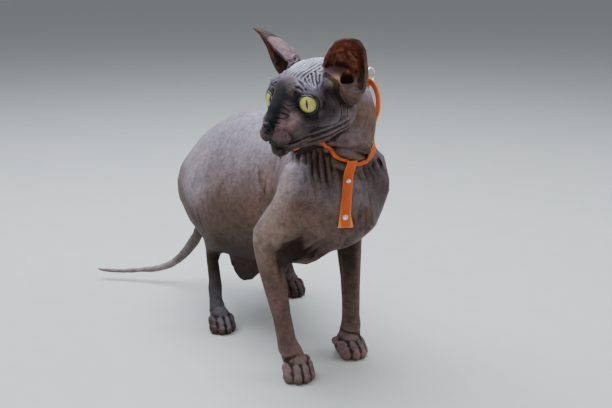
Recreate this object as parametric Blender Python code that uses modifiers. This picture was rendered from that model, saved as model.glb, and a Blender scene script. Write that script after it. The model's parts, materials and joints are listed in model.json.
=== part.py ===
# A sphynx cat at life size: it stands on four feet, looks over its right shoulder and wears a webbing harness.
# Metres, +Z up. The cat faces -Y and its left is +X. Places are written in millimetres through mm().
import math

import bmesh
import bpy
import numpy as np
from mathutils import Euler, Matrix, Vector
from mathutils.bvhtree import BVHTree

GAP = 0.0003                # clearance between neighbouring solids
EYE_RADIUS = 0.0115
EYE_APART = 22.5             # mm from the head's middle to an eyeball's centre
LID_THICKNESS = 0.0022
HEAD_PLACE = (-48.8, -220, 298)          # midpoint of the eyeballs, mm
HEAD_TURN = (9.0, 2.0, -68.7)            # nod, roll and turn to the right, degrees
EAR_THICKNESS = 0.0022
WEBBING_THICKNESS = 0.0016
STRAP_GAP = 0.0005
STRAP_REACH = 0.011         # how far above its line a strap looks for the skin
SINK = 0.0048               # how deep a strap lies where a fold of skin covers it
RIVET_RADIUS = 0.0023
RING_RADIUS = 0.0075
RING_WIRE = 0.0011
FRONT_PAW_TOP = 41          # mm above the floor
HIND_PAW_TOP = 50
MASS_VOXEL = 0.0055         # block-out of trunk, shoulders and thighs
BODY_VOXEL = 0.0028
HEAD_VOXEL = 0.0013
PAW_VOXEL = 0.0012
HEAD_TRIANGLES = 6100
BODY_TRIANGLES = 4400
PAW_TRIANGLES = 600

COLOURS = {
    "skin": (0.085, 0.058, 0.052), "ear": (0.14, 0.06, 0.05), "eye": (0.55, 0.52, 0.12),
    "webbing": (0.85, 0.22, 0.02), "metal": (0.7, 0.7, 0.7),
}


def mm(x, y, z):
    return Vector((x, y, z)) * 0.001


HEAD = Matrix.Translation(mm(*HEAD_PLACE)) @ (
    Matrix.Rotation(math.radians(HEAD_TURN[2]), 4, "Z")
    @ Matrix.Rotation(math.radians(HEAD_TURN[0]), 4, "X")
    @ Matrix.Rotation(math.radians(HEAD_TURN[1]), 4, "Y"))


NECK_BASE = (mm(5, -168, 237), Vector((0, -0.405, 0.914)).normalized())
HEAD_BASE = (mm(5, -198, 262), Vector((-0.3, -0.12, 0.95)).normalized())


def on_head(x, y, z):
    """A place given in millimetres from the midpoint of the eyeballs: x to the cat's left, y back, z up."""
    return HEAD @ mm(x, y, z)


# Scene

def start_scene():
    for obj in list(bpy.data.objects):
        bpy.data.objects.remove(obj, do_unlink=True)
    made = {}
    for name in ("sphynx_cat", "cutters"):
        made[name] = bpy.data.collections.new(name)
        bpy.context.scene.collection.children.link(made[name])
    return made


COLLECTIONS = start_scene()


def add_object(name, mesh, cutter=False):
    obj = bpy.data.objects.new(name, mesh)
    COLLECTIONS["cutters" if cutter else "sphynx_cat"].objects.link(obj)
    if cutter:
        obj.hide_render = True
        obj.display_type = "WIRE"
    return obj


def mesh_from(bm, name):
    bmesh.ops.recalc_face_normals(bm, faces=bm.faces)
    mesh = bpy.data.meshes.new(name)
    bm.to_mesh(mesh)
    bm.free()
    return mesh


# Clay: simple closed lumps that are melted together

def ball(bm, place, radii, turn=(0, 0, 0), frame=Matrix.Identity(4), segments=20):
    """An ellipsoid; place and radii in millimetres, turn in degrees, all in the given frame."""
    turned = Euler([math.radians(a) for a in turn]).to_matrix().to_4x4()
    matrix = frame @ Matrix.Translation(mm(*place)) @ turned @ Matrix.Diagonal((*mm(*radii), 1))
    bmesh.ops.create_uvsphere(bm, u_segments=segments, v_segments=segments // 2 + 2, radius=1, matrix=matrix)


def limb(bm, stations, frame=Matrix.Identity(4), sides=20, across=Vector((1, 0, 0)), egg=0.0):
    """A closed tube through stations (x, y, z, half width, half depth) in millimetres.

    The half width is measured along 'across', and the half depth square to it and to the run of the tube.
    A tube with 'egg' above zero is narrower on its upper side.
    """
    centres = [frame @ mm(*s[:3]) for s in stations]
    side_way = frame.to_3x3() @ across
    rings = []
    for i, station in enumerate(stations):
        run = (centres[min(i + 1, len(centres) - 1)] - centres[max(i - 1, 0)]).normalized()
        wide = (side_way - run * side_way.dot(run)).normalized()
        deep = run.cross(wide)
        ring = []
        for k in range(sides):
            a = 2 * math.pi * k / sides
            offset = wide * math.cos(a) * station[3] * (1 + egg * math.sin(a)) + deep * math.sin(a) * station[4]
            ring.append(bm.verts.new(centres[i] + offset * 0.001))
        rings.append(ring)
    for low, high in zip(rings, rings[1:]):
        for k in range(sides):
            bm.faces.new((low[k], low[(k + 1) % sides], high[(k + 1) % sides], high[k]))
    for ring, centre in ((rings[0], centres[0]), (rings[-1], centres[-1])):
        tip = bm.verts.new(centre)
        for k in range(sides):
            bm.faces.new((ring[k], ring[(k + 1) % sides], tip))


def evaluated(obj):
    bpy.context.view_layer.update()
    graph = bpy.context.evaluated_depsgraph_get()
    mesh = bpy.data.meshes.new_from_object(obj.evaluated_get(graph))
    obj.modifiers.clear()
    old, obj.data = obj.data, mesh
    bpy.data.meshes.remove(old)
    return obj


def melt(obj, voxel, passes, strength=0.5):
    """Turns overlapping lumps into one skin, and softens the creases between them."""
    remesh = obj.modifiers.new("melt", "REMESH")
    remesh.mode = "VOXEL"
    remesh.voxel_size = voxel
    smooth = obj.modifiers.new("soften", "SMOOTH")
    smooth.factor = strength
    smooth.iterations = passes
    return evaluated(obj)


# The cat's build. Each table is in millimetres: x, y, z, half width, half depth.

TRUNK = [
    (6, -228, 196, 16, 18), (7, -216, 190, 35, 38), (8, -188, 190, 46, 57), (7, -150, 188, 42, 62),
    (3, -112, 186, 40, 68), (-3, -62, 172, 57, 82), (-9, -8, 166, 67, 87), (-13, 42, 164, 66, 76),
    (-13, 86, 170, 50, 55), (-9, 114, 174, 34, 37), (-5, 130, 174, 18, 20),
]
NECK = [
    (14, -154, 218, 38, 48), (12, -172, 246, 38, 44), (13, -184, 270, 40, 38), (13, -190, 290, 34, 32),
    (11, -193, 306, 25, 24),
]
LEGS = {
    "front_right": {"blade": (-25, -158, 206, 14, 30, 36), "top": (-26, -172, 214, 16, 25),
                    "point": (-36, -188, 192, 18, 25), "elbow": (-55, -152, 142), "wrist": (-40, -180, 34),
                    "toe": (-35, -210), "heading": -4},
    "front_left": {"blade": (41, -150, 214, 17, 38, 40), "top": (52, -166, 222, 20, 28),
                   "point": (49, -188, 197, 20, 27), "elbow": (53, -124, 144), "wrist": (49, -147, 34),
                   "toe": (49, -175), "heading": 12},
    "hind_right": {"hip": (-47, 44, 176), "knee": (-58, -38, 126), "hock": (-53, 20, 82), "foot": (-61, -18, 17),
                   "toe": (-60, -47), "heading": -2, "part": 0.98},
    "hind_left": {"hip": (24, 62, 178), "knee": (54, 22, 128), "hock": (62, 92, 76), "foot": (66, 62, 17),
                  "toe": (67, 36), "heading": 4, "part": 0.76},
}
POUCH = [
    (-18, -62, 106, 10, 10), (-19, -44, 98, 15, 23), (-23, -16, 85, 19, 34), (-19, 14, 94, 16, 26),
    (-16, 46, 112, 14, 15), (-13, 70, 122, 10, 10),
]
TAIL = [
    (-5, 104, 190, 13, 13), (-6, 126, 172, 11, 11), (-10, 136, 138, 9.5, 9.5), (-19, 138, 100, 8.3, 8.3),
    (-34, 142, 62, 7.2, 7.2), (-53, 154, 34.5, 6.2, 6.2), (-75, 170, 20, 4.6, 4.6), (-102, 190, 14.5, 3.7, 3.7),
    (-126, 206, 12, 3.5, 3.5), (-140, 215, 13, 2.9, 2.9), (-148, 221, 14.5, 1.9, 1.9),
]


def front_leg(bm, side, leg):
    """Shoulder blade, upper arm and forearm; side is 1 for the cat's left."""
    elbow, wrist = leg["elbow"], leg["wrist"]
    ball(bm, leg["blade"][:3], leg["blade"][3:], (-30, side * -14, 0))
    limb(bm, [leg["top"], leg["point"],
              (side * 43, -180, 170, 18, 26), (elbow[0] - side * 3, elbow[1] - 10, elbow[2] + 10, 15, 21),
              (elbow[0], elbow[1] - 2, elbow[2] - 10, 13, 16)])
    widths = [(0.0, 14.5, 16), (0.25, 14.5, 15.5), (0.5, 12.5, 13), (0.75, 11, 11.5), (1.0, 11.5, 12)]
    limb(bm, [(elbow[0] + (wrist[0] - elbow[0]) * t, elbow[1] - 6 * (1 - t) + (wrist[1] - elbow[1]) * t,
               elbow[2] + (wrist[2] - elbow[2]) * t, w, d) for t, w, d in widths])
    ball(bm, (elbow[0] + side * 2, elbow[1] + 8, elbow[2] + 6), (9, 9, 12))


def hind_leg(bm, side, hip, knee, hock, foot):
    """Rump, thigh, shank and the long hind foot down to the toes' knuckles."""
    ball(bm, (hip[0], hip[1] + 8, hip[2] - 22), (34, 47, 46), (20, 0, 0))
    middle = [(hip[i] + knee[i]) / 2 for i in range(3)]
    limb(bm, [(hip[0], hip[1], hip[2], 28, 40), (middle[0], middle[1] + 10, middle[2] - 6, 24, 42),
              (knee[0], knee[1] + 4, knee[2], 17, 22), (knee[0], knee[1] + 2, knee[2] - 12, 14, 16)])
    for start, end, bow, widths in (
            (knee, hock, 6, [(0.0, 16, 20), (0.3, 15, 22), (0.65, 11, 14), (0.9, 8.5, 10), (1.0, 8.5, 10)]),
            (hock, foot, 0, [(0.0, 8.5, 10), (0.35, 8.5, 9), (0.7, 9.5, 8.5), (1.0, 12, 9)])):
        run = [end[i] - start[i] for i in range(3)]
        limb(bm, [(start[0] + run[0] * t, start[1] + run[1] * t + bow * math.sin(math.pi * t), start[2] + run[2] * t,
                   w, d) for t, w, d in widths])
    ball(bm, (hock[0], hock[1] + 5, hock[2] + 3), (7.5, 8, 10))


def paw(bm, toe, heading, front):
    """Pad, four toes with claws and, on a front foot, the dewclaw's knob; heading turns it to the cat's left."""
    frame = Matrix.Translation(mm(toe[0], toe[1], 0)) @ Matrix.Rotation(math.radians(heading), 4, "Z")
    wide = 1.0 if front else 0.9
    ball(bm, (0, 28, 9), (13 * wide, 14, 10), frame=frame)
    ball(bm, (0, 25, 17), (12 * wide, 14, 11), (24, 0, 0), frame=frame)
    for across, back in ((-11.8, 9), (-4.3, 3), (4.3, 3), (11.8, 9)):
        splay = across * 1.6
        ball(bm, (across * wide, back + 8, 12), (4.6 * wide, 9.5, 6.2), (38, 0, -splay), frame=frame)
        ball(bm, (across * wide * 1.06, back + 4.5, 6.2), (4.6 * wide, 7.2, 6.6), (12, 0, -splay), frame=frame)
    if front:
        ball(bm, (-13.5 if toe[0] > 0 else 13.5, 30, 17), (4, 5.5, 4.5), frame=frame)


def face_mass(bm):
    """Skull, cheeks, jaw and throat: the broad forms of the head."""
    ball(bm, (0, 32, 7), (35, 37, 22.5), frame=HEAD, segments=28)
    ball(bm, (0, 9, 11), (25, 25, 15), frame=HEAD)
    ball(bm, (0, -4, -6), (19, 22, 17), frame=HEAD)
    limb(bm, [(0, 8, 13, 17, 14), (0, -8, 6, 14, 13), (0, -20, -4, 11, 11), (0, -29, -10, 9.5, 9)], frame=HEAD)
    ball(bm, (0, -22, -21), (18, 17, 15), frame=HEAD)
    ball(bm, (0, -22, -37.5), (11.5, 11, 9.5), frame=HEAD)
    ball(bm, (0, 4, -25), (22, 31, 17), frame=HEAD)
    ball(bm, (0, 26, -26), (28, 30, 20), frame=HEAD)
    for side in (-1, 1):
        ball(bm, (side * 18, 0, 9), (16, 14, 9), (0, side * 14, 0), frame=HEAD)
        ball(bm, (side * 27, 8, -10), (14, 22, 14), (0, 0, side * -12), frame=HEAD)
        ball(bm, (side * 26, 30, -16), (15, 22, 21), frame=HEAD)
        ball(bm, (side * 16, -14, -20), (10, 14, 12), frame=HEAD)
        limb(bm, [(side * 5, -19, -36, 8.5, 9), (side * 14, -4, -33, 10, 10.5), (side * 23, 18, -28, 12, 14)], frame=HEAD)


def face_details(bm):
    """Nose, whisker pads, chin, brows and lid shells."""
    limb(bm, [(0, -16, -1, 9, 9), (0, -27, -9, 8, 8), (0, -34.5, -14, 6.8, 6)], frame=HEAD)
    ball(bm, (0, -37, -17.5), (6.6, 4.8, 5.0), frame=HEAD)
    ball(bm, (0, -24.5, -41.5), (9, 9, 8), frame=HEAD)
    for side in (-1, 1):
        ball(bm, (side * 8.4, -28.5, -26.5), (9.4, 9.4, 9.2), (0, 0, side * 16), frame=HEAD)
        ball(bm, (side * 41, 33, 4), (13, 11, 12), (0, side * 40, 0), frame=HEAD)
        ball(bm, (side * EYE_APART, -1, 0), [(EYE_RADIUS + LID_THICKNESS) * 1000] * 3, frame=HEAD, segments=28)
        ball(bm, (side * 22, -5, 11), (12, 6, 3.6), (0, side * 16, side * 10), frame=HEAD)


# One ear is a half cone: its two rims and how deep the cup is behind them, from below the base to the tip.
EAR_RIMS = [
    # inner rim          outer rim            depth  lift
    ((24, 20, 12), (42, 42, -7), 11, 0),
    ((21, 17, 29), (55.5, 36.5, 4), 19, 0.5),
    ((28, 14, 36.5), (62.5, 33.5, 18), 20, 2),
    ((37.5, 12, 45.5), (65, 31.5, 34), 15, 3),
    ((46, 11, 52.5), (66.5, 28.5, 46), 9.5, 3),
    ((56, 11.5, 57.5), (67.5, 22, 54.5), 5, 2),
    ((63, 12.5, 58.5), (69, 15.5, 57.5), 2.5, 1),
]


def ear_loft(bm, side, inset, front_out, first):
    """The half cone of one ear; inset thins it, front_out moves the flat front outward."""
    rings = []
    for inner, outer, depth, lift in EAR_RIMS[first:]:
        raised = Vector((0, 0, side * lift))
        inner, outer = Vector(inner) + raised, Vector(outer) + raised
        chord = (outer - inner).normalized()
        back = Vector((-0.14, 0.93, 0.34))
        back = (back - chord * back.dot(chord)).normalized()
        middle, half = (inner + outer) / 2, (outer - inner).length / 2
        half, depth = max(half - inset, 0.4), max(depth - inset, 0.4)
        ring = []
        for k in range(15):
            a = math.pi * k / 14
            ring.append(middle - chord * half * math.cos(a) + back * depth * math.sin(a) ** 0.8)
        for k in range(1, 6):
            t = k / 6
            ring.append(middle + chord * half * (1 - 2 * t) - back * front_out * math.sin(math.pi * t) ** 0.5)
        rings.append([bm.verts.new(HEAD @ mm(side * p.x, p.y, p.z)) for p in ring])
    count = len(rings[0])
    for low, high in zip(rings, rings[1:]):
        for k in range(count):
            bm.faces.new((low[k], low[(k + 1) % count], high[(k + 1) % count], high[k]))
    for ring in (rings[0], rings[-1]):
        bm.faces.new(ring)


def spine_curve(stations, steps=4):
    """The stations of a limb with more between them, read from a smooth curve through them."""
    points = np.array(stations, float)
    fine = []
    for i in range(len(points) - 1):
        before, after = points[max(i - 1, 0)], points[min(i + 2, len(points) - 1)]
        here, there = points[i], points[i + 1]
        for k in range(steps):
            t = k / steps
            fine.append(0.5 * (2 * here + (there - before) * t + (2 * before - 5 * here + 4 * there - after) * t * t
                               + (3 * here - before - 3 * there + after) * t ** 3))
    return [tuple(p) for p in fine + [points[-1]]]


def body_mass():
    """Trunk, neck, shoulders, thighs and legs, melted with wide soft joins."""
    bm = bmesh.new()
    limb(bm, spine_curve(TRUNK, 2), sides=32, egg=0.26)
    limb(bm, spine_curve(NECK, 2), sides=28)
    for name, leg in LEGS.items():
        side = 1 if "left" in name else -1
        if name.startswith("front"):
            front_leg(bm, side, leg)
        else:
            hind_leg(bm, side, leg["hip"], leg["knee"], leg["hock"], leg["foot"])
    ball(bm, (1, -155, 150), (31, 34, 30))
    ball(bm, (-8, -157, 126), (22, 16, 15), (0, -14, 0))
    ball(bm, (-30, -158, 133), (14, 18, 14))
    return melt(add_object("mass", mesh_from(bm, "mass")), MASS_VOXEL, 6)


# Cutting and carving

def keep_side(mesh, place, normal):
    """Cuts a closed mesh by a plane, keeps the side the normal points to and closes it with a flat."""
    bm = bmesh.new()
    bm.from_mesh(mesh)
    parts = bm.verts[:] + bm.edges[:] + bm.faces[:]
    cut = bmesh.ops.bisect_plane(bm, geom=parts, plane_co=place, plane_no=normal, clear_inner=True)
    edges = [e for e in cut["geom_cut"] if isinstance(e, bmesh.types.BMEdge) and e.is_valid]
    bmesh.ops.holes_fill(bm, edges=[e for e in edges if e.is_boundary], sides=0)
    bmesh.ops.triangulate(bm, faces=bm.faces)
    bm.to_mesh(mesh)
    bm.free()


def boolean(obj, tool, operation="DIFFERENCE"):
    cut = obj.modifiers.new(operation.lower(), "BOOLEAN")
    cut.object = tool
    cut.operation = operation
    cut.solver = "MANIFOLD"
    return evaluated(obj)


def thin(obj, triangles):
    count = sum(len(p.vertices) - 2 for p in obj.data.polygons)
    if count > triangles:
        fewer = obj.modifiers.new("thin", "DECIMATE")
        fewer.ratio = triangles / count
        evaluated(obj)


def carve(obj, strokes, frame=Matrix.Identity(4)):
    """Presses soft grooves (depth > 0) or ridges (depth < 0) into a skin along lines given in millimetres."""
    bm = bmesh.new()
    bm.from_mesh(obj.data)
    bm.normal_update()
    tree = BVHTree.FromBMesh(bm)
    verts = np.array([v.co[:] for v in bm.verts])
    normals = np.array([v.normal[:] for v in bm.verts])
    moved = np.zeros(len(verts))
    for width, depth, points in strokes:
        fine = [Vector(p) for p in spine_curve(points, 8)]
        line = np.array([tree.find_nearest(frame @ (p * 0.001))[0][:] for p in fine])
        reach = width * 0.001
        low, high = line.min(axis=0) - reach * 3, line.max(axis=0) + reach * 3
        near = np.where(np.all((verts > low) & (verts < high), axis=1))[0]
        if not len(near):
            continue
        away = np.full(len(near), 1.0)
        for a, b in zip(line, line[1:]):
            run = b - a
            t = np.clip(((verts[near] - a) @ run) / max(run @ run, 1e-12), 0, 1)
            away = np.minimum(away, np.linalg.norm(verts[near] - a - t[:, None] * run, axis=1))
        push = -depth * 0.001 * np.exp(-(away / reach) ** 2)
        moved[near] = np.where(np.abs(push) > np.abs(moved[near]), push, moved[near])
    obj.data.vertices.foreach_set("co", (verts + normals * moved[:, None]).ravel())
    bm.free()


def both(points):
    return [points, [(-x, y, z) for x, y, z in points]]


MOUTH = [(1.6, 1.5, p) for p in both([(0, -36, -31), (6, -34, -34), (12, -30, -35), (17, -20, -33.5), (20, -11, -30)])]
MUZZLE_LINES = MOUTH + [(1.3, 1.2, [(0, -42.5, -20.5), (0, -40, -26), (0, -36, -31)])]
MUZZLE_LINES += [(1.5, 1.6, p) for p in both([(3.4, -42.5, -17.5), (5.4, -40.5, -16), (7, -36.5, -16)])]
LID_LINES = [(1.6, 0.9, p) for p in both([(11, -12, -2), (15, -11, 10), (25, -10, 14.5), (35, -4, 9), (38, 3, 0)])]
LID_LINES += [(1.8, 0.7, p) for p in both([(12, -14, -6), (18, -13, -12), (27, -11, -13.5), (35, -4, -9)])]
LIPS = [(1.5, -0.7, p) for p in both([(7, -36, -37.5), (13, -28, -38.5), (18, -18, -36.5)])]


def almond(bm, side):
    """The opening between one eye's lids, run forward through the lid shell."""
    frame = HEAD @ Matrix.Translation(mm(side * EYE_APART, 0, 0)) @ Matrix.Rotation(math.radians(side * 14), 4, "Z")
    rings = []
    for y, grow in ((1, 0.85), (-24, 1.3)):
        ring = []
        for k in range(28):
            a = 2 * math.pi * k / 28
            x, z = math.cos(a), math.sin(a)
            high = 8.6 if z > 0 else 8.0
            place = Vector(((10.4 * x - 0.6) * side * grow, y, (high * z * (1 - 0.12 * x * x) + 1.6 * x) * grow))
            ring.append(bm.verts.new(frame @ (place * 0.001)))
        rings.append(ring)
    for k in range(28):
        bm.faces.new((rings[0][k], rings[0][(k + 1) % 28], rings[1][(k + 1) % 28], rings[1][k]))
    for ring in rings:
        bm.faces.new(ring)


def make_head(mass):
    """Head, ears and neck as one fine skin."""
    mesh = mass.data.copy()
    keep_side(mesh, mm(5, -168, 217), NECK_BASE[1])
    bm = bmesh.new()
    bm.from_mesh(mesh)
    face_mass(bm)
    broad = melt(add_object("head_mass", mesh_from(bm, "head_mass")), 0.0034, 7)
    bm = bmesh.new()
    bm.from_mesh(broad.data)
    bpy.data.objects.remove(broad)
    face_details(bm)
    for side in (-1, 1):
        ear_loft(bm, side, 0, 0, 0)
    head = melt(add_object("head", mesh_from(bm, "head")), HEAD_VOXEL, 6)
    carve(head, MUZZLE_LINES + LID_LINES + LIPS, HEAD)
    thin(head, HEAD_TRIANGLES * 3)
    for side in (-1, 1):
        bm = bmesh.new()
        ear_loft(bm, side, EAR_THICKNESS * 1000, 12, 1)
        boolean(head, add_object("ear_cup", mesh_from(bm, "ear_cup"), cutter=True))
        bm = bmesh.new()
        ball(bm, (side * 38, 33, 16), (7, 7, 9), (0, side * 40, 0), frame=HEAD)
        boolean(head, add_object("ear_well", mesh_from(bm, "ear_well"), cutter=True))
        bm = bmesh.new()
        ball(bm, (side * EYE_APART, 0, 0), [(EYE_RADIUS + GAP) * 1000] * 3, frame=HEAD, segments=32)
        boolean(head, add_object("socket", mesh_from(bm, "socket"), cutter=True))
        bm = bmesh.new()
        almond(bm, side)
        boolean(head, add_object("opening", mesh_from(bm, "opening"), cutter=True))
    thin(head, HEAD_TRIANGLES)
    keep_side(head.data, NECK_BASE[0] + NECK_BASE[1] * GAP / 2, NECK_BASE[1])
    return head


def make_body(mass):
    """Trunk, legs and tail as one coarser skin, up to the base of the neck."""
    bm = bmesh.new()
    bm.from_mesh(mass.data)
    limb(bm, spine_curve(TAIL), sides=14)
    limb(bm, POUCH)
    body = melt(add_object("body", mesh_from(bm, "body")), BODY_VOXEL, 4)
    thin(body, BODY_TRIANGLES)
    keep_side(body.data, NECK_BASE[0] - NECK_BASE[1] * GAP / 2, -NECK_BASE[1])
    return body


def islands(mesh):
    """The separate closed surfaces of a mesh, each as a mesh of its own, the largest first."""
    bm = bmesh.new()
    bm.from_mesh(mesh)
    left, found = set(bm.verts), []
    while left:
        seed = left.pop()
        group, edge = {seed}, [seed]
        while edge:
            for e in edge.pop().link_edges:
                for v in e.verts:
                    if v in left:
                        left.discard(v)
                        group.add(v)
                        edge.append(v)
        found.append(group)
    meshes = []
    for group in sorted(found, key=len, reverse=True):
        index = {v: i for i, v in enumerate(sorted(group, key=lambda v: v.index))}
        faces = [[index[v] for v in f.verts] for f in bm.faces if f.verts[0] in group]
        piece = bpy.data.meshes.new("piece")
        piece.from_pydata([v.co[:] for v in index], [], faces)
        if len(faces) > 20:
            meshes.append(piece)
    bm.free()
    return meshes


def divide(obj, discs, seeds):
    """Parts a skin with thin discs and names each piece by the seed place nearest to it."""
    for place, normal, radius in discs:
        turn = normal.to_track_quat("Z", "Y").to_matrix().to_4x4()
        bm = bmesh.new()
        bmesh.ops.create_cone(bm, cap_ends=True, segments=40, radius1=radius, radius2=radius, depth=GAP,
                              matrix=Matrix.Translation(place) @ turn)
        boolean(obj, add_object("parting", mesh_from(bm, "parting"), cutter=True))
    pieces = islands(obj.data)
    bpy.data.objects.remove(obj)
    made = {}
    for name, seed in seeds.items():
        near = [min((v.co - seed).length for v in piece.vertices) for piece in pieces]
        best = near.index(min(near))
        if pieces[best] in [other.data for other in made.values()]:
            raise RuntimeError("a parting cut did not go through above " + name)
        made[name] = add_object(name, pieces[best])
    return made


def make_paws(mass):
    """Four fine feet with toes, each flat underneath."""
    low = mass.data.copy()
    keep_side(low, mm(0, 0, 61), Vector((0, 0, -1)))
    stumps = islands(low)
    made = {}
    for name, leg in LEGS.items():
        foot = leg.get("wrist") or leg["foot"]
        near = [min((v.co - mm(*foot)).length for v in stump.vertices) for stump in stumps]
        front = name.startswith("front")
        bm = bmesh.new()
        bm.from_mesh(stumps[near.index(min(near))])
        paw(bm, leg["toe"], leg["heading"], front)
        if front:
            ball(bm, leg["wrist"], (11, 12, 13))
            ball(bm, (leg["toe"][0], leg["toe"][1] + 31, 24), (11.5, 12, 14))
        key = name.replace("front_", "forepaw_").replace("hind_", "hind_paw_")
        made[key] = melt(add_object(key, mesh_from(bm, key)), PAW_VOXEL, 4)
        thin(made[key], PAW_TRIANGLES)
        keep_side(made[key].data, Vector((0, 0, 0)), Vector((0, 0, 1)))
        cut = FRONT_PAW_TOP if front else HIND_PAW_TOP
        keep_side(made[key].data, mm(0, 0, cut) - Vector((0, 0, GAP / 2)), Vector((0, 0, -1)))
    return made


def along(low, high, t):
    return Vector([low[i] + (high[i] - low[i]) * t for i in range(3)]) * 0.001


def part_flesh():
    """All flesh nodes, with their thin clearances."""
    mass = body_mass()
    head = make_head(mass)
    body = make_body(mass)
    made = make_paws(mass)
    bpy.data.objects.remove(mass)
    ear_way = (HEAD.to_3x3() @ Vector((0.62, -0.18, 0.743))).normalized()
    other_way = (HEAD.to_3x3() @ Vector((-0.62, -0.18, 0.743))).normalized()
    made.update(divide(head, [
        (on_head(40, 32, 15.2), ear_way, 0.031), (on_head(-40, 32, 15.2), other_way, 0.031),
        (HEAD_BASE[0], HEAD_BASE[1], 0.09)],
        {"head": on_head(0, -40, -17), "ear_left": on_head(66, 16, 58), "ear_right": on_head(-66, 16, 58),
         "neck": mm(13, -225, 225)}))
    discs, seeds = [], {"torso": mm(0, -40, 255), "tail_base": mm(-20, 138, 106), "tail_middle": mm(-36, 141, 73),
                        "tail_tip": mm(-156, 226, 13)}
    for name, leg in LEGS.items():
        if name.startswith("front"):
            low, high, t, radius = leg["elbow"], leg["wrist"], 0.4, 0.024
            key = name.replace("front_", "foreleg_")
        else:
            low, high, t, radius = leg["knee"], leg["hock"], leg["part"], 0.021
            key = name.replace("hind_", "hind_leg_")
        outward = mm(5 if "left" in name else -5, 0, 0)
        way = along(low, high, 1) - along(low, high, 0)
        if name == "hind_right":            # the belly lies against this shank, so the cut is level
            way = Vector((0, 0, -1))
        discs.append((along(low, high, t) + outward, way.normalized(), radius))
        seeds[key] = along(low, high, 1.0 if key.startswith("hind") else 0.9) - mm(0, 0, 6)
    for low, high, t, radius in ((TAIL[2], TAIL[3], 0.1, 0.016), (TAIL[3], TAIL[4], 0.2, 0.014),
                                 (TAIL[6], TAIL[7], 0.2, 0.012)):
        discs.append((along(low, high, t), (along(low, high, 1) - along(low, high, 0)).normalized(), radius))
    made.update(divide(body, discs, seeds))
    for key, obj in made.items():
        if key.startswith("foreleg"):
            keep_side(obj.data, mm(0, 0, FRONT_PAW_TOP) + Vector((0, 0, GAP / 2)), Vector((0, 0, 1)))
        elif key.startswith("hind_leg"):
            keep_side(obj.data, mm(0, 0, HIND_PAW_TOP) + Vector((0, 0, GAP / 2)), Vector((0, 0, 1)))
    return made


def make_eyes():
    made = {}
    for side, name in ((1, "eye_left"), (-1, "eye_right")):
        bm = bmesh.new()
        ball(bm, (side * EYE_APART, 0, 0), [EYE_RADIUS * 1000] * 3, frame=HEAD, segments=20)
        made[name] = add_object(name, mesh_from(bm, name))
    return made


# Harness

def skin_tree(objects):
    bm = bmesh.new()
    for obj in objects:
        bm.from_mesh(obj.data)
    tree = BVHTree.FromBMesh(bm)
    bm.free()
    return tree


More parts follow.
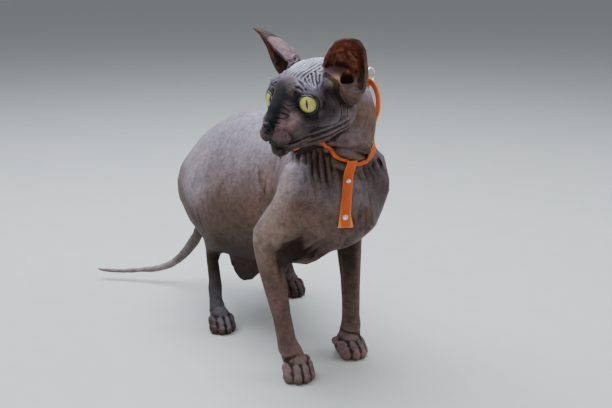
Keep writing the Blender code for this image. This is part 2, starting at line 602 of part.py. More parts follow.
def band(name, points, tree, closed, channel=None):
    """A flat strap laid on the skin; where it is sunk, its channel is cut through the solid 'channel'."""
    loop = points[-2:] + points + points[:2] if closed else points
    fine = spine_curve(loop, 12)
    if closed:
        fine = fine[24:-12 * 1 - 1]
    rows = [(Vector(p[:3]) * 0.001, p[3] * 0.001, min(max(p[4], -1), 1)) for p in fine]
    count = len(rows)
    places, ways = [], []
    for place, width, loose in rows:
        hit, normal, _, _ = tree.find_nearest(place)
        places.append(hit.lerp(place, max(loose, 0)))
        ways.append(normal.lerp((place - hit).normalized(), 0.7 * loose) if loose > 0.2 else normal)
    for _ in range(10):
        if closed:
            ways = [(ways[i - 1] + ways[i] * 2 + ways[(i + 1) % count]).normalized() for i in range(count)]
            places = [(places[i - 1] + places[i] * 2 + places[(i + 1) % count]) / 4 for i in range(count)]
        else:
            ends = range(1, count - 1)
            ways = [ways[0]] + [(ways[i - 1] + ways[i] * 2 + ways[i + 1]).normalized() for i in ends] + [ways[-1]]
            places = [places[0]] + [(places[i - 1] + places[i] * 2 + places[i + 1]) / 4 for i in ends] + [places[-1]]
    frames = []
    for i, (place, width, loose) in enumerate(rows):
        after = places[(i + 1) % count] if closed or i < count - 1 else places[i]
        before = places[i - 1] if closed or i > 0 else places[i]
        run = (after - before).normalized()
        out = (ways[i] - run * ways[i].dot(run)).normalized()
        across = run.cross(out)
        lift = -0.0015
        for k in range(-4, 5):
            foot = places[i] + across * width * k / 8
            hit = tree.ray_cast(foot + out * STRAP_REACH, -out, 1.6 * STRAP_REACH)
            while hit[0] is not None and hit[1].dot(out) < 0:       # leaves a part that hangs over the strap
                hit = tree.ray_cast(hit[0] - out * 1e-5, -out, 0.6 * STRAP_REACH)
            if hit[0] is not None:
                lift = max(lift, (hit[0] - foot).dot(out))
        frames.append([places[i], across * width / 2, out, lift if lift > -0.0014 or loose < 0.5 else 0])
    lifts = [f[3] for f in frames]
    for _ in range(3):
        lifts = [max(lifts[i - 1] if closed or i else lifts[i], lifts[i],
                     lifts[(i + 1) % count] if closed or i < count - 1 else lifts[i]) for i in range(count)]
    lifts = [lift + SINK * min(row[2], 0) for lift, row in zip(lifts, rows)]

    def sweep(indices, spare, join):
        """The strap's solid through some of its frames, thickened all round by 'spare'."""
        bm = bmesh.new()
        rings = []
        for i in indices:
            place, across, out, _ = frames[i]
            low = place + out * (lifts[i] + STRAP_GAP - spare)
            high = low + out * (WEBBING_THICKNESS + 2 * spare)
            edge = across * (1 + spare / across.length)
            rings.append([bm.verts.new(v) for v in (low - edge, low + edge, high + edge, high - edge)])
        for low, high in list(zip(rings, rings[1:])) + ([(rings[-1], rings[0])] if join else []):
            for k in range(4):
                bm.faces.new((low[k], low[(k + 1) % 4], high[(k + 1) % 4], high[k]))
        if not join:
            bm.faces.new(rings[0])
            bm.faces.new(rings[-1])
        bmesh.ops.triangulate(bm, faces=bm.faces)
        return bm

    bm = sweep(range(0, count, 2), 0, closed)
    sunk = [i for i in range(0, count, 2) if rows[i][2] < 0 or lifts[i] < -0.0016]
    if sunk and channel:
        cutter = add_object(name + "_channel", mesh_from(sweep(sunk, STRAP_GAP, False), "channel"), cutter=True)
        boolean(channel, cutter)
    top = [(f[0] + f[2] * (lifts[i] + STRAP_GAP + WEBBING_THICKNESS), f[1].normalized(), f[2])
           for i, f in enumerate(frames)]
    return add_object(name, mesh_from(bm, name)), top


# Straps run through places x, y, z, width in mm, then how loose (1 is clear of the skin) or sunk (-1) they lie.
NECK_LOOP = [
    (14, -216, 228, 10, 0), (-2, -214, 238, 10, 0), (-13, -210, 251, 10, 0), (-25, -200, 262, 10, 0),
    (-36, -180, 246, 10, 0), (-36, -152, 244, 10, 0), (-20, -126, 257, 10, 0), (14, -122, 268, 10, 0.4),
    (48, -168, 303, 10, 1), (58, -184, 288, 10, 0.9), (57, -186, 260, 10, 0.3), (47, -195, 238, 10, 0),
    (32, -208, 229, 10, 0),
]
CHEST_STRAP = [
    (14, -218, 231, 10, 0), (9, -217, 214, 10, 0), (2, -229, 198, 10, 0), (-3, -236, 184, 11, 0),
    (-2, -235, 172, 15, 0), (-1, -228, 159, 13, -1), (2, -205, 134, 10, -1), (4, -172, 110, 10, -1),
    (3, -148, 110, 10, -0.8), (3, -132, 109, 10, 0), (2, -111, 109, 10, 0),
]
GIRTH = [
    (2, -116, 114, 10, 0), (-24, -124, 126, 10, 0), (-40, -137, 160, 10, -0.6), (-34, -138, 206, 10, -0.6),
    (-20, -121, 241, 10, 0), (4, -106, 252, 10, 0), (28, -103, 240, 10, 0), (46, -100, 205, 10, 0),
    (48, -99, 160, 10, 0), (30, -108, 124, 10, 0),
]
BACK_STRAP = [
    (50, -164, 305, 9, 1), (62, -146, 290, 9, 1), (50, -124, 268, 9, 0.8), (26, -106, 254, 9, 0.2),
    (10, -94, 250, 9, 0),
]


def make_harness(flesh, torso):
    made = {}
    bare = skin_tree(flesh)
    made["neck_strap"], loop = band("neck_strap", NECK_LOOP, bare, True)
    made["girth_strap"], _ = band("girth_strap", GIRTH, bare, True, torso)
    dressed = skin_tree(flesh + list(made.values()))
    made["chest_strap"], chest = band("chest_strap", CHEST_STRAP, dressed, False, torso)
    made["back_strap"], _ = band("back_strap", BACK_STRAP, dressed, False)
    for name, row in (("rivet_upper", 13), ("rivet_lower", 38)):
        place, across, out = chest[row]
        turn = out.to_track_quat("Z", "Y").to_matrix().to_4x4()
        bm = bmesh.new()
        bmesh.ops.create_cone(bm, cap_ends=True, segments=20, radius1=RIVET_RADIUS, radius2=RIVET_RADIUS * 0.8,
                              depth=0.0009, matrix=Matrix.Translation(place + out * 0.0008) @ turn)
        made[name] = add_object(name, mesh_from(bm, name))
    top = min(range(len(loop)), key=lambda i: (loop[i][0] - mm(50, -172, 304)).length)
    place, across, out = loop[top]
    run = across.cross(out)
    bm = bmesh.new()
    rings = []
    for i in range(28):
        a = 2 * math.pi * i / 28
        spoke = across * math.sin(a) - out * math.cos(a)
        middle = place + out * (RING_RADIUS + RING_WIRE + 0.0004) + spoke * RING_RADIUS
        rings.append([bm.verts.new(middle + (spoke * math.cos(b) + run * math.sin(b)) * RING_WIRE)
                      for b in [2 * math.pi * k / 10 for k in range(10)]])
    for i in range(28):
        for k in range(10):
            after = rings[(i + 1) % 28]
            bm.faces.new((rings[i][k], rings[i][(k + 1) % 10], after[(k + 1) % 10], after[k]))
    made["ring"] = add_object("ring", mesh_from(bm, "ring"))
    bm = bmesh.new()
    inner, outer = RING_WIRE + 0.0005, RING_WIRE + 0.0016
    profile = [(-0.0045, 0.0003)] + [(-math.cos(a) * outer, 0.0004 + RING_WIRE + math.sin(a) * (outer + 0.0004))
                                     for a in [math.pi * k / 8 for k in range(9)]] + [(0.0045, 0.0003)]
    profile += [(math.cos(a) * inner, 0.0004 + RING_WIRE + math.sin(a) * (inner + 0.0004))
                for a in [math.pi * k / 8 for k in range(9)]]
    profile = profile[:11] + [(inner, 0.0003)] + profile[11:] + [(-inner, 0.0003)]
    ends = []
    for half in (-0.0024, 0.0024):
        ends.append([bm.verts.new(place + across * half + run * x + out * z) for x, z in profile])
    for k in range(len(profile)):
        after = (k + 1) % len(profile)
        bm.faces.new((ends[0][k], ends[0][after], ends[1][after], ends[1][k]))
    for end in ends:
        bm.faces.new(end)
    bmesh.ops.triangulate(bm, faces=bm.faces)
    made["ring_keeper"] = add_object("ring_keeper", mesh_from(bm, "ring_keeper"))
    return made


def dress(parts):
    """Gives every part its own material and smooth shading, and puts the origin under the middle of the box."""
    looks = {"eye": ("eye", 0.1, 0), "ear": ("ear", 0.6, 0), "ring": ("metal", 0.25, 1), "rivet": ("metal", 0.25, 1)}
    low, high = Vector((9, 9, 9)), Vector((-9, -9, -9))
    for name, obj in parts.items():
        kind = name.split("_")[0]
        colour, roughness, metallic = looks.get(kind, ("skin", 0.6, 0))
        if name.endswith("strap") or name == "ring_keeper":
            colour, roughness, metallic = "webbing", 0.7, 0
        mat = bpy.data.materials.new(name + "_look")
        mat.use_nodes = True
        shader = mat.node_tree.nodes["Principled BSDF"]
        shader.inputs["Base Color"].default_value = (*COLOURS[colour], 1)
        shader.inputs["Roughness"].default_value = roughness
        shader.inputs["Metallic"].default_value = metallic
        obj.data.materials.clear()
        obj.data.materials.append(mat)
        for v in obj.data.vertices:
            for i in range(3):
                low[i], high[i] = min(low[i], v.co[i]), max(high[i], v.co[i])
    shift = Vector((-(low.x + high.x) / 2, -(low.y + high.y) / 2, -low.z))
    for obj in parts.values():
        obj.data.transform(Matrix.Translation(shift))
        obj.data.shade_smooth()
    return shift


flesh = part_flesh()
eyes = make_eyes()
harness = make_harness(list(flesh.values()), flesh["torso"])
shift = dress({**flesh, **eyes, **harness})
print("shift", [round(v, 5) for v in shift], "size", len(bpy.data.objects))
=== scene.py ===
# The looks of a life-size sphynx cat in a webbing harness: its skin with every fold, its eyes, claws and straps.
# Places on the body are in millimetres: the cat faces -Y and its left is +X. On the head, x is to the cat's left,
# y is back and z is up, from the middle between the eyeballs.
import json
import math
import random

import bmesh
import bpy
import numpy as np
from mathutils import Matrix, Vector
from mathutils.bvhtree import BVHTree

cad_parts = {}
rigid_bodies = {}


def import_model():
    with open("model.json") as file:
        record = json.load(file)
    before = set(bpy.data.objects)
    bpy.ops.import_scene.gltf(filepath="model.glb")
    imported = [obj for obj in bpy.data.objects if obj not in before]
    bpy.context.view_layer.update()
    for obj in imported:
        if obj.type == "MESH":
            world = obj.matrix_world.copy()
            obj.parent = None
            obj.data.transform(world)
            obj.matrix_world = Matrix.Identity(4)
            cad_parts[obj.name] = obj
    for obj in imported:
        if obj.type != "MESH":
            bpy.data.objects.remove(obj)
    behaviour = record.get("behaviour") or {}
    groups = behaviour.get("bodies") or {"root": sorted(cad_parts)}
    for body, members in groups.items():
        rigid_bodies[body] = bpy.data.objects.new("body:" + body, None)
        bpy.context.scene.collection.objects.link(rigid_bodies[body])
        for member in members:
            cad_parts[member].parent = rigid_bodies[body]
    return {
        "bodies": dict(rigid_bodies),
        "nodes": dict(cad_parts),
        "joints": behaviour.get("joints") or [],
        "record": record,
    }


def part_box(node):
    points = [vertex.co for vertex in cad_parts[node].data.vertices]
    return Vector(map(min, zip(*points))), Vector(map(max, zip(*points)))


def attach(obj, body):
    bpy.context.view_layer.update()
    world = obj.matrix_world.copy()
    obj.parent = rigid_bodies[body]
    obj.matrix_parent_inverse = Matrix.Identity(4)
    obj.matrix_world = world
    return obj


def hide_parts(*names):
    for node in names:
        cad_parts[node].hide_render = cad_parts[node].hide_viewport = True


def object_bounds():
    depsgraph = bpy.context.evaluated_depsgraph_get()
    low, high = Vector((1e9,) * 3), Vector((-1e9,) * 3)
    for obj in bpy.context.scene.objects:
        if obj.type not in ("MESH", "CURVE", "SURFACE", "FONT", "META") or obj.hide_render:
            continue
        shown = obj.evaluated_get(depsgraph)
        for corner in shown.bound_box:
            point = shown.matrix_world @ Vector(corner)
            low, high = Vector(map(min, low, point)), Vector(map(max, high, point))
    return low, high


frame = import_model()
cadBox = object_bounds()
mm = 0.001
nodes = frame["nodes"]

# Where the body and the head are, read from the two eyeballs

pose = {"eyesMiddle": (-48.8, -220, 298), "headNod": 9.0, "headRoll": 2.0, "headTurn": -68.7}


def centreOf(node):
    low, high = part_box(node)
    return (Vector(low) + Vector(high)) / 2


eyesMiddle = (centreOf("eye_left") + centreOf("eye_right")) / 2
bodyOrigin = eyesMiddle - Vector(pose["eyesMiddle"]) * mm
headTurn = (Matrix.Rotation(math.radians(pose["headTurn"]), 4, "Z")
            @ Matrix.Rotation(math.radians(pose["headNod"]), 4, "X")
            @ Matrix.Rotation(math.radians(pose["headRoll"]), 4, "Y"))
headFrame = Matrix.Translation(eyesMiddle) @ headTurn


def onBody(x, y, z):
    return bodyOrigin + Vector((x, y, z)) * mm


def onHead(x, y, z):
    return headFrame @ (Vector((x, y, z)) * mm)


# Camera, light and floor

cameraSettings = {"place": (-444.8, -1139.4, 455), "azimuth": 23.9, "pitch": 14.5, "lens": 63.24, "film": 36,
                  "imageWide": 612, "imageHigh": 408}
lightSettings = {
    "sky": {"place": (-150, 250, 1500), "aim": (0, -60, 150), "size": 1.7, "power": 46, "colour": (0.9, 0.94, 1.0)},
    "front": {"place": (-1000, -1700, 900), "aim": (0, -120, 180), "size": 2.6, "power": 12,
              "colour": (1.0, 0.97, 0.93)},
    "side": {"place": (1300, -500, 900), "aim": (0, -100, 200), "size": 1.2, "power": 8, "colour": (0.95, 0.98, 1.0)},
}
floorSettings = {"size": 12, "colour": (0.62, 0.64, 0.63), "world": (0.82, 0.86, 0.9), "worldStrength": 0.3}


def addCamera():
    data = bpy.data.cameras.new("photoView")
    data.lens = cameraSettings["lens"]
    data.sensor_width = cameraSettings["film"]
    data.clip_start = 0.05
    camera = bpy.data.objects.new("photoView", data)
    camera.location = onBody(*cameraSettings["place"])
    tilt = math.radians(90 - cameraSettings["pitch"])
    camera.rotation_euler = (tilt, 0, -math.radians(cameraSettings["azimuth"]))
    bpy.context.scene.collection.objects.link(camera)
    bpy.context.scene.camera = camera
    return camera


camera = addCamera()
cameraTurn = camera.rotation_euler.to_matrix()
cameraPlace = camera.location.copy()
pixelLength = cameraSettings["lens"] / cameraSettings["film"] * cameraSettings["imageWide"]


def rayThrough(px, py):
    # the way from the camera through a pixel of the photo
    across = (px - cameraSettings["imageWide"] / 2) / pixelLength
    up = (cameraSettings["imageHigh"] / 2 - py) / pixelLength
    return (cameraTurn @ Vector((across, up, -1))).normalized()


def addLights():
    for name, light in lightSettings.items():
        data = bpy.data.lights.new(name + "Light", "AREA")
        data.shape = "DISK"
        data.size = light["size"]
        data.energy = light["power"]
        data.color = light["colour"]
        lamp = bpy.data.objects.new(name + "Light", data)
        lamp.location = onBody(*light["place"])
        lamp.rotation_euler = (onBody(*light["aim"]) - lamp.location).to_track_quat("-Z", "Y").to_euler()
        bpy.context.scene.collection.objects.link(lamp)


def deselectAll():
    bpy.ops.object.select_all(action="DESELECT")


def linked(name, mesh):
    piece = bpy.data.objects.new(name, mesh)
    bpy.context.scene.collection.objects.link(piece)
    return piece


def pieceFrom(name, bm):
    mesh = bpy.data.meshes.new(name)
    bm.to_mesh(mesh)
    bm.free()
    return linked(name, mesh)


def modify(piece, kind, **settings):
    # adds a modifier and applies it
    deselectAll()
    bpy.context.view_layer.objects.active = piece
    piece.select_set(True)
    modifier = piece.modifiers.new("step", kind)
    for key, value in settings.items():
        setattr(modifier, key, value)
    bpy.ops.object.modifier_apply(modifier=modifier.name)


def smoothShaded(piece):
    piece.data.shade_smooth()


def addFloor():
    deselectAll()
    bpy.ops.mesh.primitive_plane_add(size=floorSettings["size"], location=(0, 0, 0))
    floor = bpy.context.active_object
    floor.name = "floor"
    world = bpy.data.worlds.new("paleRoom")
    bpy.context.scene.world = world
    world.use_nodes = True
    background = world.node_tree.nodes["Background"]
    background.inputs["Color"].default_value = (*floorSettings["world"], 1)
    background.inputs["Strength"].default_value = floorSettings["worldStrength"]
    return floor


addLights()
floor = addFloor()
print("camera, lights and floor are set")

# Vertex work on the skin

randomFolds = random.Random(11)


def pointsOf(mesh):
    points = np.empty(len(mesh.vertices) * 3)
    mesh.vertices.foreach_get("co", points)
    return points.reshape(-1, 3)


def normalsOf(mesh):
    ways = np.empty(len(mesh.vertices) * 3)
    mesh.vertex_normals.foreach_get("vector", ways)
    return ways.reshape(-1, 3)


def setPoints(mesh, points):
    mesh.vertices.foreach_set("co", points.reshape(-1))
    mesh.update()


def edgesOf(mesh):
    ends = np.empty(len(mesh.edges) * 2, np.int64)
    mesh.edges.foreach_get("vertices", ends)
    return ends.reshape(-1, 2)


def neighbourMean(values, edges, counts):
    # for each vertex the mean of its neighbours' values
    total = np.zeros_like(values)
    for k in range(values.shape[1]):
        total[:, k] = np.bincount(edges[:, 0], values[edges[:, 1], k], len(values))
        total[:, k] += np.bincount(edges[:, 1], values[edges[:, 0], k], len(values))
    return total / counts[:, None]


def smoothStep(low, high, values):
    t = np.clip((values - low) / (high - low), 0, 1)
    return t * t * (3 - 2 * t)


def blobWeight(points, centre, radii, soft=0.4):
    # 1 inside an ellipsoid, falling to 0 outside it
    away = np.linalg.norm((points - np.array(centre)) / np.array(radii), axis=1)
    return 1 - smoothStep(1 - soft, 1 + soft, away)


def curveThrough(points, steps=5):
    # a smooth curve through a few points
    points = [Vector(p) for p in points]
    if len(points) < 3:
        return [points[0].lerp(points[-1], k / (2 * steps)) for k in range(2 * steps + 1)]
    fine = []
    for i in range(len(points) - 1):
        before, after = points[max(i - 1, 0)], points[min(i + 2, len(points) - 1)]
        here, there = points[i], points[i + 1]
        for k in range(steps):
            t = k / steps
            fine.append((2 * here + (there - before) * t + (2 * before - 5 * here + 4 * there - after) * t * t
                         + (3 * here - before - 3 * there + after) * t ** 3) / 2)
    return fine + [points[-1]]


# Skin: all flesh nodes fused into one surface

skinSettings = {"swell": 0.3, "coarseVoxel": 1.4, "softening": 26, "fineVoxel": 0.85, "triangles": 192000}
headNodes = ["head", "ear_left", "ear_right", "neck"]
pawNodes = ["forepaw_left", "forepaw_right", "hind_paw_left", "hind_paw_right"]
tailNodes = ["tail_base", "tail_middle", "tail_tip"]
trunkNodes = ["torso", "foreleg_left", "foreleg_right", "hind_leg_left", "hind_leg_right"]
pawTops = {"forepaw": 41, "hind_paw": 50}


def swollenCopies(names, swell):
    # the nodes' solids in one mesh, each grown a little so that the thin cuts between them close
    whole = bmesh.new()
    for name in names:
        bm = bmesh.new()
        bm.from_mesh(nodes[name].data)
        bmesh.ops.remove_doubles(bm, verts=bm.verts, dist=1e-6)
        bm.normal_update()
        for vert in bm.verts:
            vert.co += vert.normal * swell * mm
        copy = bpy.data.meshes.new("copy")
        bm.to_mesh(copy)
        bm.free()
        whole.from_mesh(copy)
        bpy.data.meshes.remove(copy)
    return whole


def voxelSkin(piece, voxel):
    deselectAll()
    bpy.context.view_layer.objects.active = piece
    piece.select_set(True)
    piece.data.remesh_voxel_size = voxel * mm
    piece.data.remesh_voxel_adaptivity = 0
    bpy.ops.object.voxel_remesh()


def cutAway(piece, place, way):
    # removes what lies on the far side of a plane and closes the hole
    bm = bmesh.new()
    bm.from_mesh(piece.data)
    bmesh.ops.bisect_plane(bm, geom=bm.verts[:] + bm.edges[:] + bm.faces[:], plane_co=place, plane_no=way,
                           clear_outer=True)
    bmesh.ops.holes_fill(bm, edges=[edge for edge in bm.edges if edge.is_boundary])
    bm.to_mesh(piece.data)
    bm.free()


def fusedSkin():
    trunk = pieceFrom("trunkMass", swollenCopies(trunkNodes + pawNodes + ["neck", "tail_base"], skinSettings["swell"]))
    voxelSkin(trunk, skinSettings["coarseVoxel"])
    modify(trunk, "SMOOTH", factor=0.5, iterations=skinSettings["softening"])
    cutAway(trunk, onBody(5, -180, 252), Vector((-0.1, -0.3, 0.95)))
    low = onBody(0, 0, pawTops["forepaw"] - 4).z
    cutAway(trunk, Vector((0, 0, low)), Vector((0, 0, -1)))
    whole = swollenCopies(headNodes + pawNodes + tailNodes, skinSettings["swell"])
    whole.from_mesh(trunk.data)
    bpy.data.objects.remove(trunk)
    skin = pieceFrom("skin", whole)
    voxelSkin(skin, skinSettings["fineVoxel"])
    return skin


skin = fusedSkin()
points = pointsOf(skin.data)
edges = edgesOf(skin.data)
counts = np.bincount(edges.reshape(-1), minlength=len(points)).astype(float)
headPoints = (points - np.array(eyesMiddle)) @ np.array(headTurn.to_3x3()) / mm
bodyPoints = (points - np.array(bodyOrigin)) / mm
print("skin fused", len(points), "vertices")

# How much the first smoothing may move each place: little on the face, ears and toes

faceWeight = blobWeight(headPoints, (0, -12, -14), (40, 36, 36), 0.3)
earWeight = blobWeight(np.abs(headPoints) * (1, 1, 1), (48, 26, 30), (30, 30, 44), 0.25)
toeWeight = 1 - smoothStep(24, 40, bodyPoints[:, 2])
keep = np.clip(np.maximum(np.maximum(faceWeight * 0.55, earWeight * 0.6), toeWeight * 0.75), 0, 1)


def ironed(points, keep, turns):
    # smooths without shrinking: each inward pass is followed by an outward one
    for turn in range(turns):
        step = (neighbourMean(points, edges, counts) - points) * (1 - keep[:, None])
        points = points + step * (0.62 if turn % 2 == 0 else -0.55 if turn < turns - 6 else 0.3)
    return points


earWellPlace = (35, 31, 17)                 # the middle of the ear's root, in front of its hollow
points = ironed(points, keep, 16)
wrists = np.exp(-((bodyPoints[:, 2] - 35) / 7.5) ** 2) * 0.85
for _ in range(40):
    points = points + (neighbourMean(points, edges, counts) - points) * wrists[:, None]
earWell = blobWeight(headPoints * (0, 1, 1) + np.abs(headPoints) * (1, 0, 0), earWellPlace, (10, 14, 9), 0.3) * 0.85
earWell = np.maximum(earWell, blobWeight(headPoints, (0, -27, -44), (15, 14, 8), 0.3) * 0.6)
for _ in range(22):
    points = points + (neighbourMean(points, edges, counts) - points) * earWell[:, None]
setPoints(skin.data, points)
print("skin smoothed")

# Eyes: where the balls sit and how the lids open over them

eyeSettings = {"radius": 11.5, "forward": 2.0, "inward": 0.4, "openWide": 55, "openHigh": 46, "openTurn": 23,
               "openTilt": 9, "lidThick": 0.9, "pupils": {1: (306.8, 104.6), -1: (270.4, 100.6)}, "lower": {1: -0.3, -1: 2.6}, "rimThick": 0.8,
               "iris": 50, "pupilWide": 4.6, "pupilHigh": 25}


def eyeCentre(side):
    # in head millimetres; side is 1 for the cat's left eye
    place = headFrame.inverted() @ centreOf("eye_left" if side > 0 else "eye_right") / mm
    return place + Vector((-side * eyeSettings["inward"], -eyeSettings["forward"], -eyeSettings["lower"][side]))


def eyeTurn(side):
    # the opening's frame: x outward to the side, y out of the eye, z up
    turn = Matrix.Rotation(math.radians(side * eyeSettings["openTurn"]), 3, "Z")
    tilt = Matrix.Rotation(math.radians(-side * eyeSettings["openTilt"]), 3, "Y")
    axes = turn @ tilt @ Matrix(((side, 0, 0), (0, -1, 0), (0, 0, 1)))
    return axes


def openingShape(angle):
    # how far the lids open, in degrees from the middle, towards an angle; 0 is outward and 90 is up
    wide = eyeSettings["openWide"] + 9 * math.exp(-((angle - math.pi) / 0.3) ** 2)
    high = eyeSettings["openHigh"] if math.sin(angle) > 0 else eyeSettings["openHigh"] - 1
    return 1 / math.sqrt((math.cos(angle) / wide) ** 2 + (math.sin(angle) / high) ** 2)


def shapeLids(skin):
    # draws the skin up to the lids' edge and opens a round hole over each eyeball
    mesh = skin.data
    points, normals = pointsOf(mesh), normalsOf(mesh)
    radius = eyeSettings["radius"]
    turn = np.array(headTurn.to_3x3())
    table = np.array([openingShape(math.radians(k)) for k in range(360)])
    for side in (-1, 1):
        centre = eyeCentre(side)
        axes = np.array(eyeTurn(side))
        away = (points - np.array(eyesMiddle)) @ turn / mm - np.array(centre)
        local = away @ axes
        reach = np.linalg.norm(local, axis=1)
        near = np.nonzero((reach < radius + 9) & (local[:, 1] > -3))[0]
        local, reach = local[near], reach[near]
        facing = np.einsum("ij,ij->i", normals[near] @ turn @ axes, local / reach[:, None])
        angle = np.arctan2(local[:, 2], local[:, 0])
        lean = np.degrees(np.arccos(np.clip(local[:, 1] / reach, -1, 1)))
        edge = table[np.round(np.degrees(angle)).astype(int) % 360]
        beyond = (lean - edge) * radius * math.pi / 180          # mm outside the lids' edge
        outside = facing > -0.15
        margin = radius + eyeSettings["lidThick"] + 0.22 * np.clip(beyond, 0, 4)
        blend = 1 - smoothStep(1.8, 7.5, beyond)
        lifted = np.where(reach < margin, margin, reach + (margin - reach) * blend)
        want = np.where(beyond > 0, lifted, margin - 3.2 * smoothStep(0, 0.9, -beyond))
        want = np.where(outside, want, np.minimum(reach, radius - 1.2))
        moved = local * (want / reach)[:, None]
        points[near] += (moved - local) @ axes.T @ turn.T * mm
    setPoints(mesh, points)


shapeLids(skin)

# Folds: each family is a few lines drawn between a first and a last one, pressed into the skin.
# "seen" gives the lines in the photo's pixels, "head" and "body" in millimetres.

foldFamilies = [
    {"part": "chest pleats", "on": "seen", "first": [(284, 150), (280, 163), (276, 180)],
     "last": [(328, 147), (331, 166), (334, 188)], "count": 9, "width": 1.8, "depth": 2.3, "lip": 0.75},
    {"part": "chest pleats, between", "on": "seen", "first": [(287, 152), (282, 172), (277, 194)],
     "last": [(324, 154), (328, 178), (331, 204)], "count": 8, "width": 1.3, "depth": 1.3, "lip": 0.5},
    {"part": "throat folds", "on": "seen", "first": [(313, 147), (333, 148), (352, 150.5), (371, 157)],
     "last": [(324, 154), (337, 160), (352, 164), (360, 165)], "count": 4, "width": 2.2, "depth": 3.4, "lip": 0.8},
    {"part": "left breast pleats", "on": "seen", "first": [(357, 170), (361, 180), (365, 192)],
     "last": [(376, 157), (380, 166), (385, 174)], "count": 5, "width": 1.6, "depth": 2.3, "lip": 0.7},
    {"part": "beside the strap", "on": "seen", "first": [(355, 176), (356, 196), (353, 216), (355, 232)],
     "last": [(368, 190), (369, 208), (371, 222), (372, 234)], "count": 4, "width": 1.9, "depth": 2.5, "lip": 0.7},
    {"part": "fold under the breast", "on": "seen", "first": [(338, 231), (322, 241), (304, 251), (292, 260)],
     "last": [(342, 240), (328, 248), (318, 256), (310, 262)], "count": 3, "width": 2.6, "depth": 2.4, "lip": 0.7},
    {"part": "behind the right shoulder", "on": "seen", "first": [(262, 158), (259, 176), (262, 200), (263, 214)],
     "last": [(272, 152), (270, 170), (266, 190), (264, 206)], "count": 4, "width": 2.3, "depth": 1.7, "lip": 0.5},
    {"part": "long folds of the forehead", "on": "head", "first": [(-15, -3, 17), (-15, 10, 26), (-18, 34, 33)],
     "last": [(15, -3, 17), (15, 10, 26), (18, 34, 33)], "count": 9, "width": 1.05, "depth": 1.0, "lip": 0.8},
    {"part": "brow herringbone", "on": "head", "first": [(9, -6, 14), (15, -8, 14), (23, -8, 12)],
     "last": [(13, 22, 30), (24, 12, 26), (33, 4, 17)], "count": 7, "width": 1.0, "depth": 0.9, "lip": 0.8,
     "mirror": True},
    {"part": "crown", "on": "head", "first": [(-26, 20, 28), (-10, 30, 33), (10, 30, 33), (26, 20, 28)],
     "last": [(-30, 44, 28), (-10, 56, 30), (10, 56, 30), (30, 44, 28)], "count": 6, "width": 1.4, "depth": 0.8,
     "lip": 0.6},
    {"part": "temple, down to the cheek", "on": "head", "first": [(33, 6, 12), (38, 10, 0), (35, 8, -14), (28, 2, -22)],
     "last": [(38, 26, 12), (45, 28, -4), (41, 27, -20), (32, 22, -34)], "count": 8, "width": 1.0, "depth": 0.26,
     "lip": 0.6, "mirror": True},
    {"part": "under the eye", "on": "head", "first": [(12, -11, -9), (20, -11, -14), (30, -6, -12)],
     "last": [(13, -16, -15), (24, -13, -22), (35, -2, -20)], "count": 4, "width": 0.8, "depth": 0.3, "lip": 0.7,
     "mirror": True},
    {"part": "bridge of the nose", "on": "head", "first": [(4, -36, -12), (7, -32, -13), (9, -28, -16)],
     "last": [(3, -20, 2), (9, -17, 0), (13, -14, -4)], "count": 5, "width": 0.8, "depth": 0.35, "lip": 0.6,
     "mirror": True},
    {"part": "jaw", "on": "head", "first": [(20, -14, -33), (28, 0, -31), (36, 18, -27), (40, 36, -20)],
     "last": [(12, -6, -43), (20, 8, -43), (28, 24, -42), (34, 42, -36)], "count": 4, "width": 1.6, "depth": 0.75,
     "lip": 0.7, "mirror": True},
    {"part": "nape", "on": "body", "first": [(-20, -150, 290), (6, -140, 292), (34, -150, 292)],
     "last": [(-30, -110, 252), (0, -92, 256), (34, -104, 250)], "count": 7, "width": 2.4, "depth": 1.5, "lip": 0.7},
    {"part": "left of the neck", "on": "body", "first": [(56, -176, 262), (58, -160, 240), (62, -150, 214)],
     "last": [(48, -130, 272), (54, -122, 246), (60, -118, 218)], "count": 5, "width": 2.1, "depth": 1.4, "lip": 0.6},
    {"part": "right of the neck", "on": "body", "first": [(-20, -196, 244), (-28, -190, 226), (-36, -184, 208)],
     "last": [(-24, -136, 254), (-30, -132, 236), (-36, -128, 214)], "count": 6, "width": 2.0, "depth": 1.4,
     "lip": 0.7},
    {"part": "right flank before the thigh", "on": "body", "first": [(-64, -20, 190), (-70, -16, 150), (-58, -22, 112)],
     "last": [(-62, 6, 200), (-74, 10, 160), (-62, 0, 116)], "count": 4, "width": 3.0, "depth": 0.9, "lip": 0.5},
    {"part": "left flank before the thigh", "on": "body", "first": [(60, -10, 196), (68, -2, 160), (64, 4, 124)],
     "last": [(56, 14, 206), (66, 18, 170), (64, 16, 134)], "count": 4, "width": 3.0, "depth": 1.1, "lip": 0.5},
    {"part": "left ribs", "on": "body", "first": [(52, -84, 214), (58, -78, 180), (48, -80, 136)],
     "last": [(60, -40, 214), (66, -36, 176), (54, -40, 130)], "count": 4, "width": 4.0, "depth": 0.7, "lip": 0.4},
    {"part": "rump", "on": "body", "first": [(-20, 112, 206), (-4, 120, 204), (12, 112, 206)],
     "last": [(-30, 92, 226), (-8, 100, 230), (16, 92, 226)], "count": 4, "width": 2.6, "depth": 0.8, "lip": 0.5},
    {"part": "pouch", "on": "body", "first": [(-34, -30, 100), (-38, -8, 94), (-34, 18, 102)],
     "last": [(-24, -32, 84), (-28, -12, 74), (-24, 10, 82)], "count": 4, "width": 2.2, "depth": 1.0, "lip": 0.5},
]

# Single strokes: a groove has a depth over 0, a ridge one under 0

